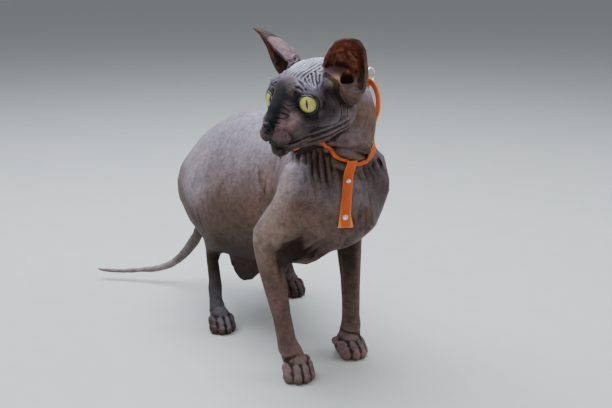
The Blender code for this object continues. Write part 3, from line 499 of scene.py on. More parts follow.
strokes = [
    ("seen", [(322, 146), (336, 148), (352, 152), (368, 155)], 2.2, 3.0, 0.8),
    ("seen", [(334, 143), (348, 147), (360, 149), (370, 149)], 1.9, 2.4, 0.8),
    ("head", [(-7, -38, -11), (0, -41, -10), (7, -38, -11)], 3.2, -1.3, 0),
    ("seen", [(345, 139.5), (356, 141), (367, 147)], 4.2, -2.4, 0),
    ("seen", [(338, 223), (327, 230), (315, 238), (303, 247), (296, 253)], 3.2, -2.6, 0),
    ("seen", [(337, 219), (333, 222)], 2.2, 1.8, 0),
    ("seen", [(349, 236), (347, 243), (343, 250)], 3.4, 4.0, 0.3),
    ("seen", [(257, 233), (255, 241), (258, 249)], 5.0, -2.2, 0),
    ("seen", [(270, 232), (276, 246), (279, 262)], 6.0, -1.6, 0),
    ("seen", [(281, 150), (277.5, 166), (275.5, 180), (269.5, 195), (266.5, 206)], 3.0, -2.6, 0),
    ("head", [(17, -4, 15.5), (24, -3, 16.5), (31, 2, 13.5)], 3.0, -1.5, 0),
    ("head", [(-17, -4, 15.5), (-24, -3, 16.5), (-31, 2, 13.5)], 3.0, -1.5, 0),
    ("head", [(30, -2, -12), (36, 8, -16), (36, 20, -14)], 6.0, -1.6, 0),
    ("head", [(-30, -2, -12), (-36, 8, -16), (-36, 20, -14)], 6.0, -1.6, 0),
    ("head", [(0, -42.5, -21), (0, -40, -26), (0, -36, -31.5)], 0.85, 1.5, 0.5),
]
mouthLine = [(0, -36, -31.5), (6, -34, -34.5), (12, -30, -35.5), (17, -20, -34), (21, -11, -31), (24, -4, -29.5)]
nostrilLine = [(2.2, -43, -19.4), (3.9, -42, -18.4), (5.6, -40, -18.6)]
nostrilWing = [(6.9, -38, -20.2), (7.4, -37.5, -17.2), (6.0, -38, -14.2)]
for side in (-1, 1):
    for line, width, depth, lip in ((mouthLine, 1.0, 1.9, 0.45), (nostrilLine, 1.1, 2.2, 0.3),
                                    (nostrilWing, 0.9, 0.8, 0.3)):
        strokes.append(("head", [(x * side, y, z) for x, y, z in line], width, depth, lip))


def lineOnSkin(on, line, tree):
    places = []
    for place in curveThrough([(*p, 0)[:3] for p in line], 7):
        if on == "seen":
            hit = tree.ray_cast(cameraPlace, rayThrough(place[0], place[1]))[0]
        else:
            hit = tree.find_nearest(onHead(*place) if on == "head" else onBody(*place))[0]
        if hit is not None and (not places or (hit - Vector(places[-1])).length < 0.03):
            places.append(tuple(hit))
    return np.array(places)


def nearLine(points, line, reach):
    # the points near a line, how far each is from it, and how far along
    box = (points > line.min(axis=0) - reach) & (points < line.max(axis=0) + reach)
    near = np.nonzero(box.all(axis=1))[0]
    chosen = points[near]
    away, along = np.full(len(near), 1.0), np.zeros(len(near))
    lengths = np.linalg.norm(np.diff(line, axis=0), axis=1)
    starts = np.concatenate([[0], np.cumsum(lengths)])
    for i, length in enumerate(lengths):
        run = line[i + 1] - line[i]
        t = np.clip((chosen - line[i]) @ run / max(length * length, 1e-12), 0, 1)
        far = np.linalg.norm(chosen - line[i] - t[:, None] * run, axis=1)
        closer = far < away
        away[closer] = far[closer]
        along[closer] = ((starts[i] + t * length) / starts[-1])[closer]
    inside = away < reach
    return near[inside], away[inside], along[inside]


def pressed(points, normals, line, width, depth, lip, ends=0.22):
    # a groove that fades at both ends, with a lip of skin on either side
    if len(line) < 2:
        return
    near, away, along = nearLine(points, line, width * mm * 3.6)
    fade = smoothStep(0, ends, along) * smoothStep(0, ends, 1 - along)
    across = away / (width * mm)
    shape = -np.exp(-across ** 2) + lip * np.exp(-((across - 1.9) / 0.85) ** 2)
    return near, shape * fade * depth * mm


def carveSkin(skin):
    mesh = skin.data
    points, normals = pointsOf(mesh), normalsOf(mesh)
    tree = BVHTree.FromObject(skin, bpy.context.evaluated_depsgraph_get())
    push = np.zeros(len(points))
    jobs = []
    for family in foldFamilies:
        sides = (1, -1) if family.get("mirror") else (1,)
        for side in sides:
            for k in range(family["count"]):
                t = k / max(family["count"] - 1, 1)
                shake = 0.7 if family["on"] == "seen" else 0.6
                line = []
                for a, b in zip(family["first"], family["last"]):
                    place = [a[i] + (b[i] - a[i]) * t + randomFolds.uniform(-shake, shake) for i in range(len(a))]
                    line.append((place[0] * side, *place[1:]) if family["on"] == "head" else tuple(place))
                strength = family["depth"] * randomFolds.uniform(0.65, 1.2)
                jobs.append((family["on"], line, family["width"] * randomFolds.uniform(0.85, 1.15), strength,
                             family["lip"]))
    for on, line, width, depth, lip in jobs + strokes:
        found = pressed(points, normals, lineOnSkin(on, line, tree), width, depth, lip)
        if found:
            np.add.at(push, found[0], found[1])
    points += normals * np.clip(push, -4.5 * mm, 3.5 * mm)[:, None]
    setPoints(mesh, points)


carveSkin(skin)
print("folds carved")

# Harness: places x, y, z in body millimetres, width, and how loose (1 is clear of the skin) or sunk (-1) it lies

webbing = {"thick": 1.7, "edge": 0.35, "step": 1.6, "reach": 11, "bed": 0.35, "bulge": 1.1}
strapPaths = {
    "neckStrap": {"closed": True, "points": [
        (14, -216, 228, 4, 0), (-2, -214, 238, 4, 0), (-13, -210, 251, 4, 0), (-25, -200, 262, 8, 0),
        (-36, -180, 246, 10, 0), (-36, -152, 244, 10, 0), (-20, -126, 257, 10, 0), (14, -122, 268, 10, 0.4),
        (48, -168, 303, 10, 1), (58, -184, 288, 10, 0.9), (57, -186, 260, 10, 0.3), (47, -195, 238, 10, 0),
        (32, -208, 229, 5, 0)]},
    "girthStrap": {"closed": True, "points": [
        (2, -116, 114, 10, 0), (-24, -124, 126, 10, 0), (-40, -137, 160, 10, -0.4), (-34, -138, 206, 10, -0.4),
        (-20, -121, 241, 10, 0), (4, -106, 252, 10, 0), (28, -103, 240, 10, 0), (46, -100, 205, 10, 0),
        (48, -99, 160, 10, 0), (30, -108, 124, 10, 0)]},
    "chestStrap": {"closed": False, "points": [
        (14, -218, 231, 10, 0), (9, -217, 214, 10, 0), (2, -229, 198, 10, 0), (-3, -236, 184, 11, 0),
        (-2, -235, 172, 15, 0), (-1, -229, 160, 14, -1), (2, -205, 134, 10, -1), (4, -172, 110, 10, -1),
        (3, -148, 110, 10, -1), (3, -132, 109, 10, -1), (2, -111, 109, 10, -0.6)]},
    "backStrap": {"closed": False, "points": [
        (50, -164, 305, 9, 1), (62, -146, 290, 9, 1), (50, -124, 268, 9, 0.8), (26, -106, 254, 9, 0.2),
        (10, -94, 250, 9, 0)]},
}
sunkDepth = 10


def rounded(values, closed, turns):
    values = [v.copy() for v in values]
    last = len(values) - 1
    for _ in range(turns):
        values = [v if not closed and i in (0, last) else (values[i - 1] + v * 2 + values[(i + 1) % (last + 1)]) / 4
                  for i, v in enumerate(values)]
    return values


def strapFrames(path, trees):
    # where the strap's middle runs over the skin, which way it faces and how wide it is
    closed, rows = path["closed"], path["points"]
    loop = rows[-2:] + rows + rows[:3] if closed else rows
    fine = curveThrough([row[:3] for row in loop], 14)
    extra = curveThrough([(row[3], row[4], 0) for row in loop], 14)
    if closed:
        fine, extra = fine[28:-28 - 1], extra[28:-28 - 1]
    places, ways = [], []
    for place, (width, loose, _) in zip(fine, extra):
        place = onBody(*place)
        hit, normal = trees[0].find_nearest(place)[:2]
        loose = min(max(loose, 0), 1)
        places.append(hit.lerp(place, loose))
        ways.append(normal.lerp((place - hit).normalized(), 0.7 * loose) if loose > 0.2 else normal)
    places = rounded(places, closed, 10)
    ways = [way.normalized() for way in rounded(ways, closed, 14)]
    frames, count = [], len(places)
    for i, (place, (width, loose, _)) in enumerate(zip(places, extra)):
        after = places[(i + 1) % count] if closed or i < count - 1 else places[i]
        before = places[i - 1] if closed or i else places[i]
        run = (after - before).normalized()
        out = (ways[i] - run * ways[i].dot(run)).normalized()
        across = run.cross(out)
        lift = -1.5 * mm
        for tree in trees:
            for k in range(-4, 5):
                foot = place + across * (width * mm * k / 8)
                hit = tree.ray_cast(foot + out * webbing["reach"] * mm, -out, 1.6 * webbing["reach"] * mm)
                while hit[0] is not None and hit[1].dot(out) < 0:
                    hit = tree.ray_cast(hit[0] - out * 1e-5, -out, 0.6 * webbing["reach"] * mm)
                if hit[0] is not None:
                    lift = max(lift, (hit[0] - foot).dot(out))
        lift = lift if lift > -1.4 * mm or loose < 0.5 else 0
        sunk = min(max(-extra[i][1], 0), 1)
        frames.append([place, across, out, width * mm, lift * (1 - sunk) - sunkDepth * mm * sunk, sunk])
    lifts = [Vector((frame[4], 0, 0)) for frame in frames]
    for frame, lift in zip(frames, rounded(lifts, closed, 4)):
        frame[4] = lift.x
    return frames


strapProfile = [(-1, 0.35), (-1, 1.2), (-0.92, 1.6), (-0.55, 1.7), (0, 1.72), (0.55, 1.7), (0.92, 1.6), (1, 1.2),
                (1, 0.35), (0.92, 0.05), (0, 0), (-0.92, 0.05)]


def strapPiece(name, frames, closed):
    # sweeps the webbing's rounded section along the frames, with a map in millimetres along and across
    bm = bmesh.new()
    layer = bm.loops.layers.uv.new("weave")
    rings, runs, run = [], [], 0.0
    for i, (place, across, out, width, lift, _) in enumerate(frames):
        run += (place - frames[i - 1][0]).length if i else 0
        runs.append(run)
        rings.append([bm.verts.new(place + across * (a * width / 2) + out * (lift + 0.3 * mm + h * mm))
                      for a, h in strapProfile])
    if closed:
        rings.append(rings[0])
        runs.append(run + (frames[0][0] - frames[-1][0]).length)
    for i in range(len(rings) - 1):
        for k in range(len(strapProfile)):
            after = (k + 1) % len(strapProfile)
            face = bm.faces.new((rings[i][k], rings[i][after], rings[i + 1][after], rings[i + 1][k]))
            width = frames[i % len(frames)][3]
            for loop, (step, col) in zip(face.loops, ((i, k), (i, after), (i + 1, after), (i + 1, k))):
                loop[layer].uv = (runs[step] / mm, strapProfile[col][0] * width / mm / 2)
    if not closed:
        bm.faces.new(rings[0])
        bm.faces.new(list(reversed(rings[-1])))
    bmesh.ops.recalc_face_normals(bm, faces=bm.faces)
    piece = pieceFrom(name, bm)
    deselectAll()
    piece.select_set(True)
    bpy.context.view_layer.objects.active = piece
    bpy.ops.object.shade_smooth_by_angle(angle=math.radians(50))
    return piece


def treeOf(piece):
    return BVHTree.FromObject(piece, bpy.context.evaluated_depsgraph_get())


skinTree = treeOf(skin)
strapRuns = {}
straps = {}
for name in ("neckStrap", "girthStrap"):
    strapRuns[name] = strapFrames(strapPaths[name], [skinTree])
    straps[name] = strapPiece(name, strapRuns[name], True)
dressedTrees = [skinTree] + [treeOf(piece) for piece in straps.values()]
for name in ("chestStrap", "backStrap"):
    strapRuns[name] = strapFrames(strapPaths[name], dressedTrees)
    straps[name] = strapPiece(name, strapRuns[name], False)
print("straps laid")


def beddedStraps(skin):
    # presses the skin flat under each strap and lets it swell beside the edges
    mesh = skin.data
    points = pointsOf(mesh)
    for name, frames in strapRuns.items():
        places = np.array([frame[0] for frame in frames])
        low, high = places.min(axis=0) - 0.02, places.max(axis=0) + 0.02
        near = np.nonzero(((points > low) & (points < high)).all(axis=1))[0]
        best, chosen = np.full(len(near), 1.0), np.zeros(len(near), int)
        for i, place in enumerate(places):
            far = np.linalg.norm(points[near] - place, axis=1)
            closer = far < best
            best[closer], chosen[closer] = far[closer], i
        close = best < 0.016
        near, chosen = near[close], chosen[close]
        sides = np.array([frame[1] for frame in frames])[chosen]
        outs = np.array([frame[2] for frame in frames])[chosen]
        half = np.array([frame[3] for frame in frames])[chosen] / 2
        lift = np.array([frame[4] for frame in frames])[chosen]
        offset = points[near] - places[chosen]
        across = np.abs(np.einsum("ij,ij->i", offset, sides))
        height = np.einsum("ij,ij->i", offset, outs) - lift
        open = 1 - smoothStep(0.3, 0.6, np.array([frame[5] for frame in frames])[chosen])
        skinSide = (height > -6 * mm) * open
        under = smoothStep(0, 1, (half + 1.4 * mm - across) / (1.2 * mm)) * skinSide
        drop = np.minimum(-webbing["bed"] * mm - height, 0) * under * (height < 4.5 * mm)
        beside = np.exp(-((across - half - 3.2 * mm) / (1.9 * mm)) ** 2) * (np.abs(height) < 4 * mm)
        swell = webbing["bulge"] * mm * beside * (1 - under) * open
        points[near] += outs * (drop + swell)[:, None]
    setPoints(mesh, points)


beddedStraps(skin)
low, high = (np.array(corner) + inset for corner, inset in zip(cadBox, (1e-5, -1e-5)))
setPoints(skin.data, np.clip(pointsOf(skin.data), low, high))
print("skin bedded under the straps")

# Fewer faces, then what each place of the skin is like: its relief, its colour and where it is wet

fineArea = skin.vertex_groups.new(name="coarse")
headNow = (pointsOf(skin.data) - np.array(eyesMiddle)) @ np.array(headTurn.to_3x3()) / mm
coarse = 1 - 0.93 * np.maximum(blobWeight(headNow, (0, 0, 6), (62, 52, 66), 0.25), toeWeight * 0.5)
for k in range(11):
    rows = np.nonzero(np.round(coarse * 10).astype(int) == k)[0]
    if len(rows):
        fineArea.add(rows.tolist(), k / 10, "REPLACE")
modify(skin, "DECIMATE", ratio=skinSettings["triangles"] / 2 / len(skin.data.polygons), use_collapse_triangulate=True,
       vertex_group="coarse", vertex_group_factor=1.0)
skin.vertex_groups.clear()
print("skin thinned to", len(skin.data.polygons), "faces")

mesh = skin.data
points, normals = pointsOf(mesh), normalsOf(mesh)
edges = edgesOf(mesh)
counts = np.maximum(np.bincount(edges.reshape(-1), minlength=len(points)).astype(float), 1)
headPoints = (points - np.array(eyesMiddle)) @ np.array(headTurn.to_3x3()) / mm
bodyPoints = (points - np.array(bodyOrigin)) / mm
headNormals = normals @ np.array(headTurn.to_3x3())


def reliefAt(turns, size):
    # above 0 on ridges and below 0 in grooves narrower than the smoothing reaches
    smooth = points
    for _ in range(turns):
        smooth = neighbourMean(smooth, edges, counts)
    height = np.einsum("ij,ij->i", points - smooth, normals) / mm
    return np.clip(height / size, -1, 1)


relief = np.clip(0.6 * reliefAt(6, 0.16) + 0.7 * reliefAt(26, 0.6), -1, 1)
legs = smoothStep(22, 38, bodyPoints[:, 2]) * (1 - smoothStep(100, 132, bodyPoints[:, 2]))
relief *= 1 - 0.88 * legs

# skin tone by the way the skin faces: greyish-brown sides are the skin's own; the lilac top is partly the skin's
# lighter back and partly a painted sheen of the sky light; the dark underside is partly the skin's darker belly and
# partly painted shade
facingTonesWithPaintedSkyLight = {"top": (0.3, 0.272, 0.325), "side": (0.14, 0.084, 0.06), "under": (0.055, 0.028, 0.021)}
# (frame, middle, radii, colour, strength, softness); one on the head marks both sides, one that is seen is placed
# where a point of the photo falls on the skin
# most are the skin's own marks; the ones noted below are painted highlights and painted shade
marksAndPaintedLight = [
    ("body", (0, 30, 100), (80, 92, 38), (0.05, 0.024, 0.018), 0.85, 0.5),
    ("body", (10, -225, 175), (60, 45, 70), (0.14, 0.088, 0.074), 0.6, 0.5),
    ("body", (60, -180, 180), (36, 50, 60), (0.1, 0.072, 0.068), 0.7, 0.5),
    ("body", (0, -165, 60), (120, 90, 64), (0.15, 0.092, 0.08), 0.8, 0.4),
    ("body", (0, -150, 14), (120, 80, 22), (0.2, 0.132, 0.115), 0.75, 0.5),
    ("body", (0, 75, 62), (130, 80, 62), (0.06, 0.04, 0.034), 0.85, 0.4),
    ("body", (0, 60, 10), (140, 110, 20), (0.075, 0.043, 0.042), 0.85, 0.5),
    ("body", (10, 190, 60), (140, 60, 90), (0.24, 0.205, 0.2), 0.8, 0.4),
    ("head", (0, 0, 0), (54, 48, 50), (0.085, 0.066, 0.07), 0.75, 0.4),
    # painted highlight: the lilac sheen of the sky light on the crown, much lighter than the skin
    ("head", (0, 26, 36), (36, 32, 20), (0.6, 0.61, 0.73), 0.92, 0.45),
    # painted highlight: the lilac sheen of the sky light on the tops of both brows
    ("head", (24, -2, 20), (16, 17, 9), (0.25, 0.235, 0.32), 0.7, 0.5),
    ("head", (0, -14, 16), (12, 12, 12), (0.07, 0.05, 0.045), 0.8, 0.5),
    ("head", (0, -22, 8), (7.5, 12, 16), (0.006, 0.006, 0.009), 0.97, 0.35),
    ("head", (0, -32, -6), (8, 14, 13), (0.008, 0.008, 0.012), 0.97, 0.35),
    ("head", (13, -20, 10), (6, 10, 9), (0.07, 0.05, 0.046), 0.7, 0.5),
    ("head", (15, -27, -14), (7, 11, 8), (0.24, 0.13, 0.145), 0.8, 0.5),
    ("head", (11, -34, -25), (8, 9, 7), (0.13, 0.075, 0.082), 0.75, 0.5),
    ("head", (0, -36, -33), (18, 13, 6), (0.03, 0.021, 0.021), 0.85, 0.4),
    ("head", (0, -34, -41), (13, 13, 7), (0.03, 0.022, 0.02), 0.8, 0.5),
    ("head", (38, -4, -10), (12, 22, 18), (0.034, 0.025, 0.028), 0.85, 0.6),
    ("head", (34, 20, -22), (15, 20, 12), (0.17, 0.13, 0.145), 0.8, 0.6),
    ("head", (0, -42, -18), (8.5, 8, 8.5), (0.012, 0.011, 0.015), 0.96, 0.35),
    # painted shade over the ear's root, around its opening
    ("head", (36, 35, 17), (9, 13, 9), (0.06, 0.022, 0.018), 0.75, 0.5),
    ("seen", (337, 80), (7, 7, 5.5), (0.8, 0.57, 0.42), 0.9, 0.7),
    ("seen", (343, 88), (9, 9, 6), (0.17, 0.105, 0.08), 0.6, 0.6),
    ("seen", (279, 86), (6, 6, 6), (0.02, 0.015, 0.016), 0.85, 0.6),
    # painted highlight on the top of the nose leather
    ("seen", (266, 121), (4, 4, 3), (0.13, 0.11, 0.145), 0.7, 0.6),
    ("seen", (256, 241), (10, 10, 10), (0.3, 0.22, 0.18), 0.6, 0.7),
    ("seen", (276, 202), (18, 18, 44), (0.3, 0.22, 0.175), 0.65, 0.7),
    # painted highlight on the lump at the back of the jaw
    ("seen", (353, 139), (16, 16, 8), (0.2, 0.155, 0.17), 0.6, 0.6),
    ("seen", (380, 195), (22, 22, 40), (0.05, 0.035, 0.034), 0.75, 0.6),
    # painted highlight: the lilac sheen of the sky light on the top of the right haunch
    ("seen", (192, 180), (24, 34, 24), (0.36, 0.31, 0.35), 0.7, 0.7),
    ("seen", (240, 262), (26, 26, 16), (0.04, 0.018, 0.013), 0.7, 0.5),
    ("seen", (285, 96), (5, 5, 5), (0.008, 0.008, 0.011), 0.95, 0.6),
    ("seen", (281, 92), (5, 5, 6), (0.006, 0.006, 0.009), 0.95, 0.6),
    ("seen", (277, 106), (6, 6, 8), (0.006, 0.006, 0.009), 0.95, 0.6),
    ("seen", (273, 118), (6, 6, 7), (0.007, 0.007, 0.01), 0.95, 0.6),
    ("seen", (291, 92), (4, 4, 3), (0.09, 0.062, 0.05), 0.7, 0.6),
]


# rows of small dark spots on the whisker pads
whiskerSpots = [("head", (8.5 + 2.7 * k, -39.5 + 2.4 * k + 0.5 * row, -20.5 - 2.7 * row - 0.3 * k), (0.8, 1.2, 0.7),
                 (0.02, 0.014, 0.016), 0.85, 0.5) for row in range(4) for k in range(5)]


def toneWithMarksAndPaintedLight():
    # the top is painted lighter and lilac as a sheen of the sky light, and the underside painted darker as shade, over
    # the skin's own tone
    up = normals[:, 2]
    side = np.array(facingTonesWithPaintedSkyLight["side"])
    tone = side + (np.array(facingTonesWithPaintedSkyLight["top"]) - side) * smoothStep(0.08, 0.82, up)[:, None]
    tone += (np.array(facingTonesWithPaintedSkyLight["under"]) - tone) * smoothStep(-0.1, -0.8, up)[:, None]
    trunk = smoothStep(-120, -90, bodyPoints[:, 1]) * smoothStep(50, 80, bodyPoints[:, 2])
    tone *= (1 - 0.5 * trunk * (1 - smoothStep(110, 215, bodyPoints[:, 2])))[:, None]
    hind = smoothStep(-50, -30, bodyPoints[:, 1]) * (1 - smoothStep(130, 150, bodyPoints[:, 1]))
    tone *= (1 - 0.62 * hind * (1 - smoothStep(70, 105, bodyPoints[:, 2])))[:, None]
    tree = treeOf(skin)
    for part, middle, radii, colour, strength, soft in marksAndPaintedLight + whiskerSpots:
        places = bodyPoints
        if part == "head":
            places = headPoints * (0, 1, 1) + np.abs(headPoints) * (1, 0, 0)
        elif part == "seen":
            middle = (tree.ray_cast(cameraPlace, rayThrough(*middle))[0] - bodyOrigin) / mm
        weight = blobWeight(places, middle, radii, soft) * strength
        tone = tone + (np.array(colour) - tone) * weight[:, None]
    return tone


def earMasks():
    # inside: the hollow face of either ear; rim: its thin edge
    inside, zone = np.zeros(len(points)), np.zeros(len(points))
    for side, name in ((1, "ear_left"), (-1, "ear_right")):
        tree = BVHTree.FromObject(nodes[name], bpy.context.evaluated_depsgraph_get())
        near = np.nonzero((headPoints[:, 0] * side > 4) & (headPoints[:, 2] > -4))[0]
        for row in near:
            place, way = Vector(points[row]), Vector(normals[row])
            if tree.find_nearest(place, 3 * mm)[0] is None:
                continue
            zone[row] = 1.0
            ahead = headNormals[row] @ np.array((0.85 * side, -0.52, 0))
            hollow = ahead > -0.2 and tree.ray_cast(place + way * 1.5 * mm, way, 40 * mm)[0] is not None
            inside[row] = 1.0 if hollow or ahead > 0.35 else 0.0
    rim = smoothStep(0.4, 0.95, reliefAt(16, 0.8)) * zone
    return inside, rim * smoothStep(24, 36, headPoints[:, 2]), zone * smoothStep(20, 32, headPoints[:, 2])


earInside, earRim, earZone = earMasks()
for _ in range(3):
    earInside = neighbourMean(earInside[:, None], edges, counts)[:, 0]
    earZone = neighbourMean(earZone[:, None], edges, counts)[:, 0]
print("ears marked")

tone = toneWithMarksAndPaintedLight()
tone += (np.array((0.235, 0.15, 0.155)) - tone) * (earZone * (1 - earInside) * 0.88)[:, None]
# the ear's hollow: its own red-brown, painted dark near the root as shade and bright towards the top as painted light
earPaintedLightRise = smoothStep(18, 60, headPoints[:, 2])[:, None]
earHollowToneWithPaintedLight = np.array((0.09, 0.02, 0.016)) * (1 - earPaintedLightRise) + np.array((0.68, 0.155, 0.09)) * earPaintedLightRise
tone += (earHollowToneWithPaintedLight - tone) * (earInside * smoothStep(14, 30, headPoints[:, 2]) * 0.92)[:, None]
tone += (np.array((0.01, 0.007, 0.008)) - tone) * (earRim * 0.85)[:, None]

wet = np.zeros(len(points))
for side in (-1, 1):
    local = (headPoints - np.array(eyeCentre(side))) @ np.array(eyeTurn(side))
    reach = np.linalg.norm(local, axis=1)
    lean = np.degrees(np.arccos(np.clip(local[:, 1] / np.maximum(reach, 1e-3), -1, 1)))
    angle = np.degrees(np.arctan2(local[:, 2], local[:, 0])).astype(int) % 360
    table = np.array([openingShape(math.radians(k)) for k in range(360)])
    beyond = (lean - table[angle]) * 0.2
    lid = (1 - smoothStep(1.6, 3.4, beyond)) * (reach < 17) * (local[:, 1] > -4)
    bags = np.exp(-((beyond - 3.4) / 1.0) ** 2) * (reach < 19) * (local[:, 1] > -4)
    tone += (np.array((0.012, 0.01, 0.011)) - tone) * (lid * 0.95)[:, None]
    tone += (np.array((0.15, 0.115, 0.125)) - tone) * (bags * 0.45)[:, None]
    wet = np.maximum(wet, lid)
wet = np.maximum(wet, blobWeight(headPoints, (0, -43, -17), (8, 5, 6), 0.3) * 0.7)


def attribute(mesh, name, values):
    # stores one number or one colour for each vertex
    if values.ndim == 1:
        mesh.attributes.new(name, "FLOAT", "POINT").data.foreach_set("value", values)
    else:
        rows = np.hstack([np.clip(values, 0, 1), np.ones((len(values), 1))]).reshape(-1)
        mesh.attributes.new(name, "FLOAT_COLOR", "POINT").data.foreach_set("color", rows)


attribute(mesh, "tone", tone)
attribute(mesh, "relief", relief)
attribute(mesh, "wet", wet)
attribute(mesh, "earInside", earInside)
smoothShaded(skin)
print("skin marked")

# Shader wiring


class Wire:
    # a node's output that can be reckoned with as a number
    def __init__(self, recipe, socket):
        self.recipe = recipe
        self.socket = socket

    def reckon(self, operation, first, second):
        return self.recipe.node("ShaderNodeMath", {"operation": operation}, {0: first, 1: second})

    def __add__(self, other):
        return self.reckon("ADD", self, other)

    def __radd__(self, other):
        return self.reckon("ADD", other, self)

    def __sub__(self, other):
        return self.reckon("SUBTRACT", self, other)

    def __rsub__(self, other):
        return self.reckon("SUBTRACT", other, self)

    def __mul__(self, other):
        return self.reckon("MULTIPLY", self, other)

    def __rmul__(self, other):
        return self.reckon("MULTIPLY", other, self)

    def __truediv__(self, other):
        return self.reckon("DIVIDE", self, other)

    def __rtruediv__(self, other):
        return self.reckon("DIVIDE", other, self)

    def __pow__(self, other):
        return self.reckon("POWER", self, other)

    def size(self):
        return self.reckon("ABSOLUTE", self, 0)

    def clamped(self, low=0.0, high=1.0):
        return self.recipe.node("ShaderNodeClamp", {}, {"Value": self, "Min": low, "Max": high})


class Recipe:
    # one material's node tree
    def __init__(self, name):
        self.material = bpy.data.materials.new(name)
        self.material.use_nodes = True
        self.tree = self.material.node_tree
        self.shader = self.tree.nodes["Principled BSDF"]

    def node(self, kind, settings, values, output=0):
        node = self.tree.nodes.new(kind)
        for key, value in settings.items():
            if key == "stops":
                ramp = node.color_ramp.elements
                while len(ramp) < len(value):
                    ramp.new(1)
                for element, (place, colour) in zip(ramp, value):
                    element.position = place
                    element.color = (*colour, 1)
            else:
                setattr(node, key, value)
        for key, value in values.items():
            self.feed(node.inputs[key], value)
        return Wire(self, node.outputs[output])

    def feed(self, entry, value):
        if isinstance(value, Wire):
            self.tree.links.new(value.socket, entry)
        elif isinstance(value, tuple) and entry.type == "RGBA":
            entry.default_value = (*value, 1)
        else:
            entry.default_value = value

    def mixed(self, factor, first, second, blend="MIX"):
        return self.node("ShaderNodeMix", {"data_type": "RGBA", "blend_type": blend}, {0: factor, 6: first, 7: second},
                         2)

    def place(self):
        return self.node("ShaderNodeTexCoord", {}, {}, "Object")

    def stretched(self, vector, scale):
        return self.node("ShaderNodeVectorMath", {"operation": "MULTIPLY"}, {0: vector, 1: scale})

    def noise(self, vector, scale, detail=3.0, rough=0.5):
        return self.node("ShaderNodeTexNoise", {}, {"Vector": vector, "Scale": scale, "Detail": detail,
                                                    "Roughness": rough})

    def cells(self, vector, scale, feature="F1"):
        return self.node("ShaderNodeTexVoronoi", {"feature": feature}, {"Vector": vector, "Scale": scale})

    def bump(self, height, distance, strength=1.0, normal=None):
        values = {"Height": height, "Distance": distance, "Strength": strength}
        if normal:
            values["Normal"] = normal
        return self.node("ShaderNodeBump", {}, values)

    def finish(self, values):
        for key, value in values.items():
            self.feed(self.shader.inputs[key], value)
        return self.material


def skinMaterial():
    # bare skin: pores, fine crossing wrinkles, down that catches light, freckled colour, painted shade in its grooves
    # and painted highlights on its ridges
    recipe = Recipe("bareSkin")
    place = recipe.place()
    tone = recipe.node("ShaderNodeAttribute", {"attribute_name": "tone"}, {}, "Color")
    relief = recipe.node("ShaderNodeAttribute", {"attribute_name": "relief"}, {}, "Fac")
    wet = recipe.node("ShaderNodeAttribute", {"attribute_name": "wet"}, {}, "Fac")
    inner = recipe.node("ShaderNodeAttribute", {"attribute_name": "earInside"}, {}, "Fac")
    broad = recipe.noise(place, 42.0, 4.0, 0.6)
    middle = recipe.noise(place, 190.0, 4.0, 0.65)
    fine = recipe.noise(place, 900.0, 3.0, 0.6)
    wrinkles = recipe.noise(recipe.stretched(place, (1.0, 1.0, 3.2)), 420.0, 3.0, 0.55)
    pores = recipe.cells(place, 1250.0)
    freckles = (recipe.cells(place, 330.0) * -4.0 + 1.2).clamped()
    light = 0.35 + broad * 0.7 + (middle - 0.5) * 1.15 + (fine - 0.5) * 0.5
    shaded = recipe.mixed(1.0, tone, recipe.node("ShaderNodeCombineColor", {}, {0: light, 1: light, 2: light}),
                          "MULTIPLY")
    blush = recipe.mixed(((broad - 0.5) * 2.2).clamped() * 0.35, shaded, recipe.mixed(1.0, shaded, (1.45, 0.95, 0.85),
                                                                                    "MULTIPLY"))
    spotted = recipe.mixed(freckles * (middle * 2 - 0.6).clamped() * 0.25, blush, (0.03, 0.022, 0.024))
    # painted shade darkens the grooves and painted highlights lighten the ridges, both read from the skin's relief
    creaseShaded = recipe.mixed((relief * -1.5).clamped() * 0.85, spotted, recipe.mixed(1.0, spotted, (0.2, 0.17, 0.17),
                                                                                   "MULTIPLY"))
    ridgeHighlighted = recipe.mixed((relief * 1.3).clamped() * 0.5, creaseShaded, recipe.mixed(1.0, creaseShaded, (1.75, 1.75, 1.85),
                                                                                "MULTIPLY"))
    veins = (recipe.noise(recipe.stretched(place, (1.0, 1.0, 0.35)), 160.0, 5.0, 0.7) * 5 - 2.4).clamped()
    eared = recipe.mixed(inner * veins * 0.5, ridgeHighlighted, (0.55, 0.22, 0.09))
    height = pores * 0.25 + wrinkles * 0.9 + fine * 0.35 + middle * 0.6
    rough = (0.6 - relief * 0.06 + (fine - 0.5) * 0.25 - wet * 0.38).clamped(0.12, 0.9)
    return recipe.finish({"Base Color": eared, "Roughness": rough, "Normal": recipe.bump(height, 0.0009, 0.75),
                          "Sheen Weight": 0.02, "Sheen Roughness": 0.4, "Sheen Tint": (0.8, 0.82, 1.0),
                          "Specular IOR Level": 0.13})


skin.data.materials.clear()
skin.data.materials.append(skinMaterial())
print("skin painted")

# Eyes: the ball's pole faces where the cat looks, and the cornea stands out over the iris


def gazeAxes(side):
    # columns: across the gaze, up, and along the gaze, in head space; the pupil is under its place in the photo
    centre = onHead(*eyeCentre(side))
    way = rayThrough(*eyeSettings["pupils"][side])
    nearest = (centre - cameraPlace).dot(way)
    missed = (cameraPlace + way * nearest - centre).length
    reach = ((eyeSettings["radius"] + 1) * mm) ** 2 - missed ** 2
    ahead = (cameraPlace + way * (nearest - math.sqrt(max(reach, 0))) - centre).normalized()
    across = ahead.cross(cameraTurn @ Vector((0, 1, 0))).normalized()
    axes = Matrix((across, across.cross(ahead).normalized() * -1, ahead)).transposed()
    return headTurn.to_3x3().transposed() @ axes


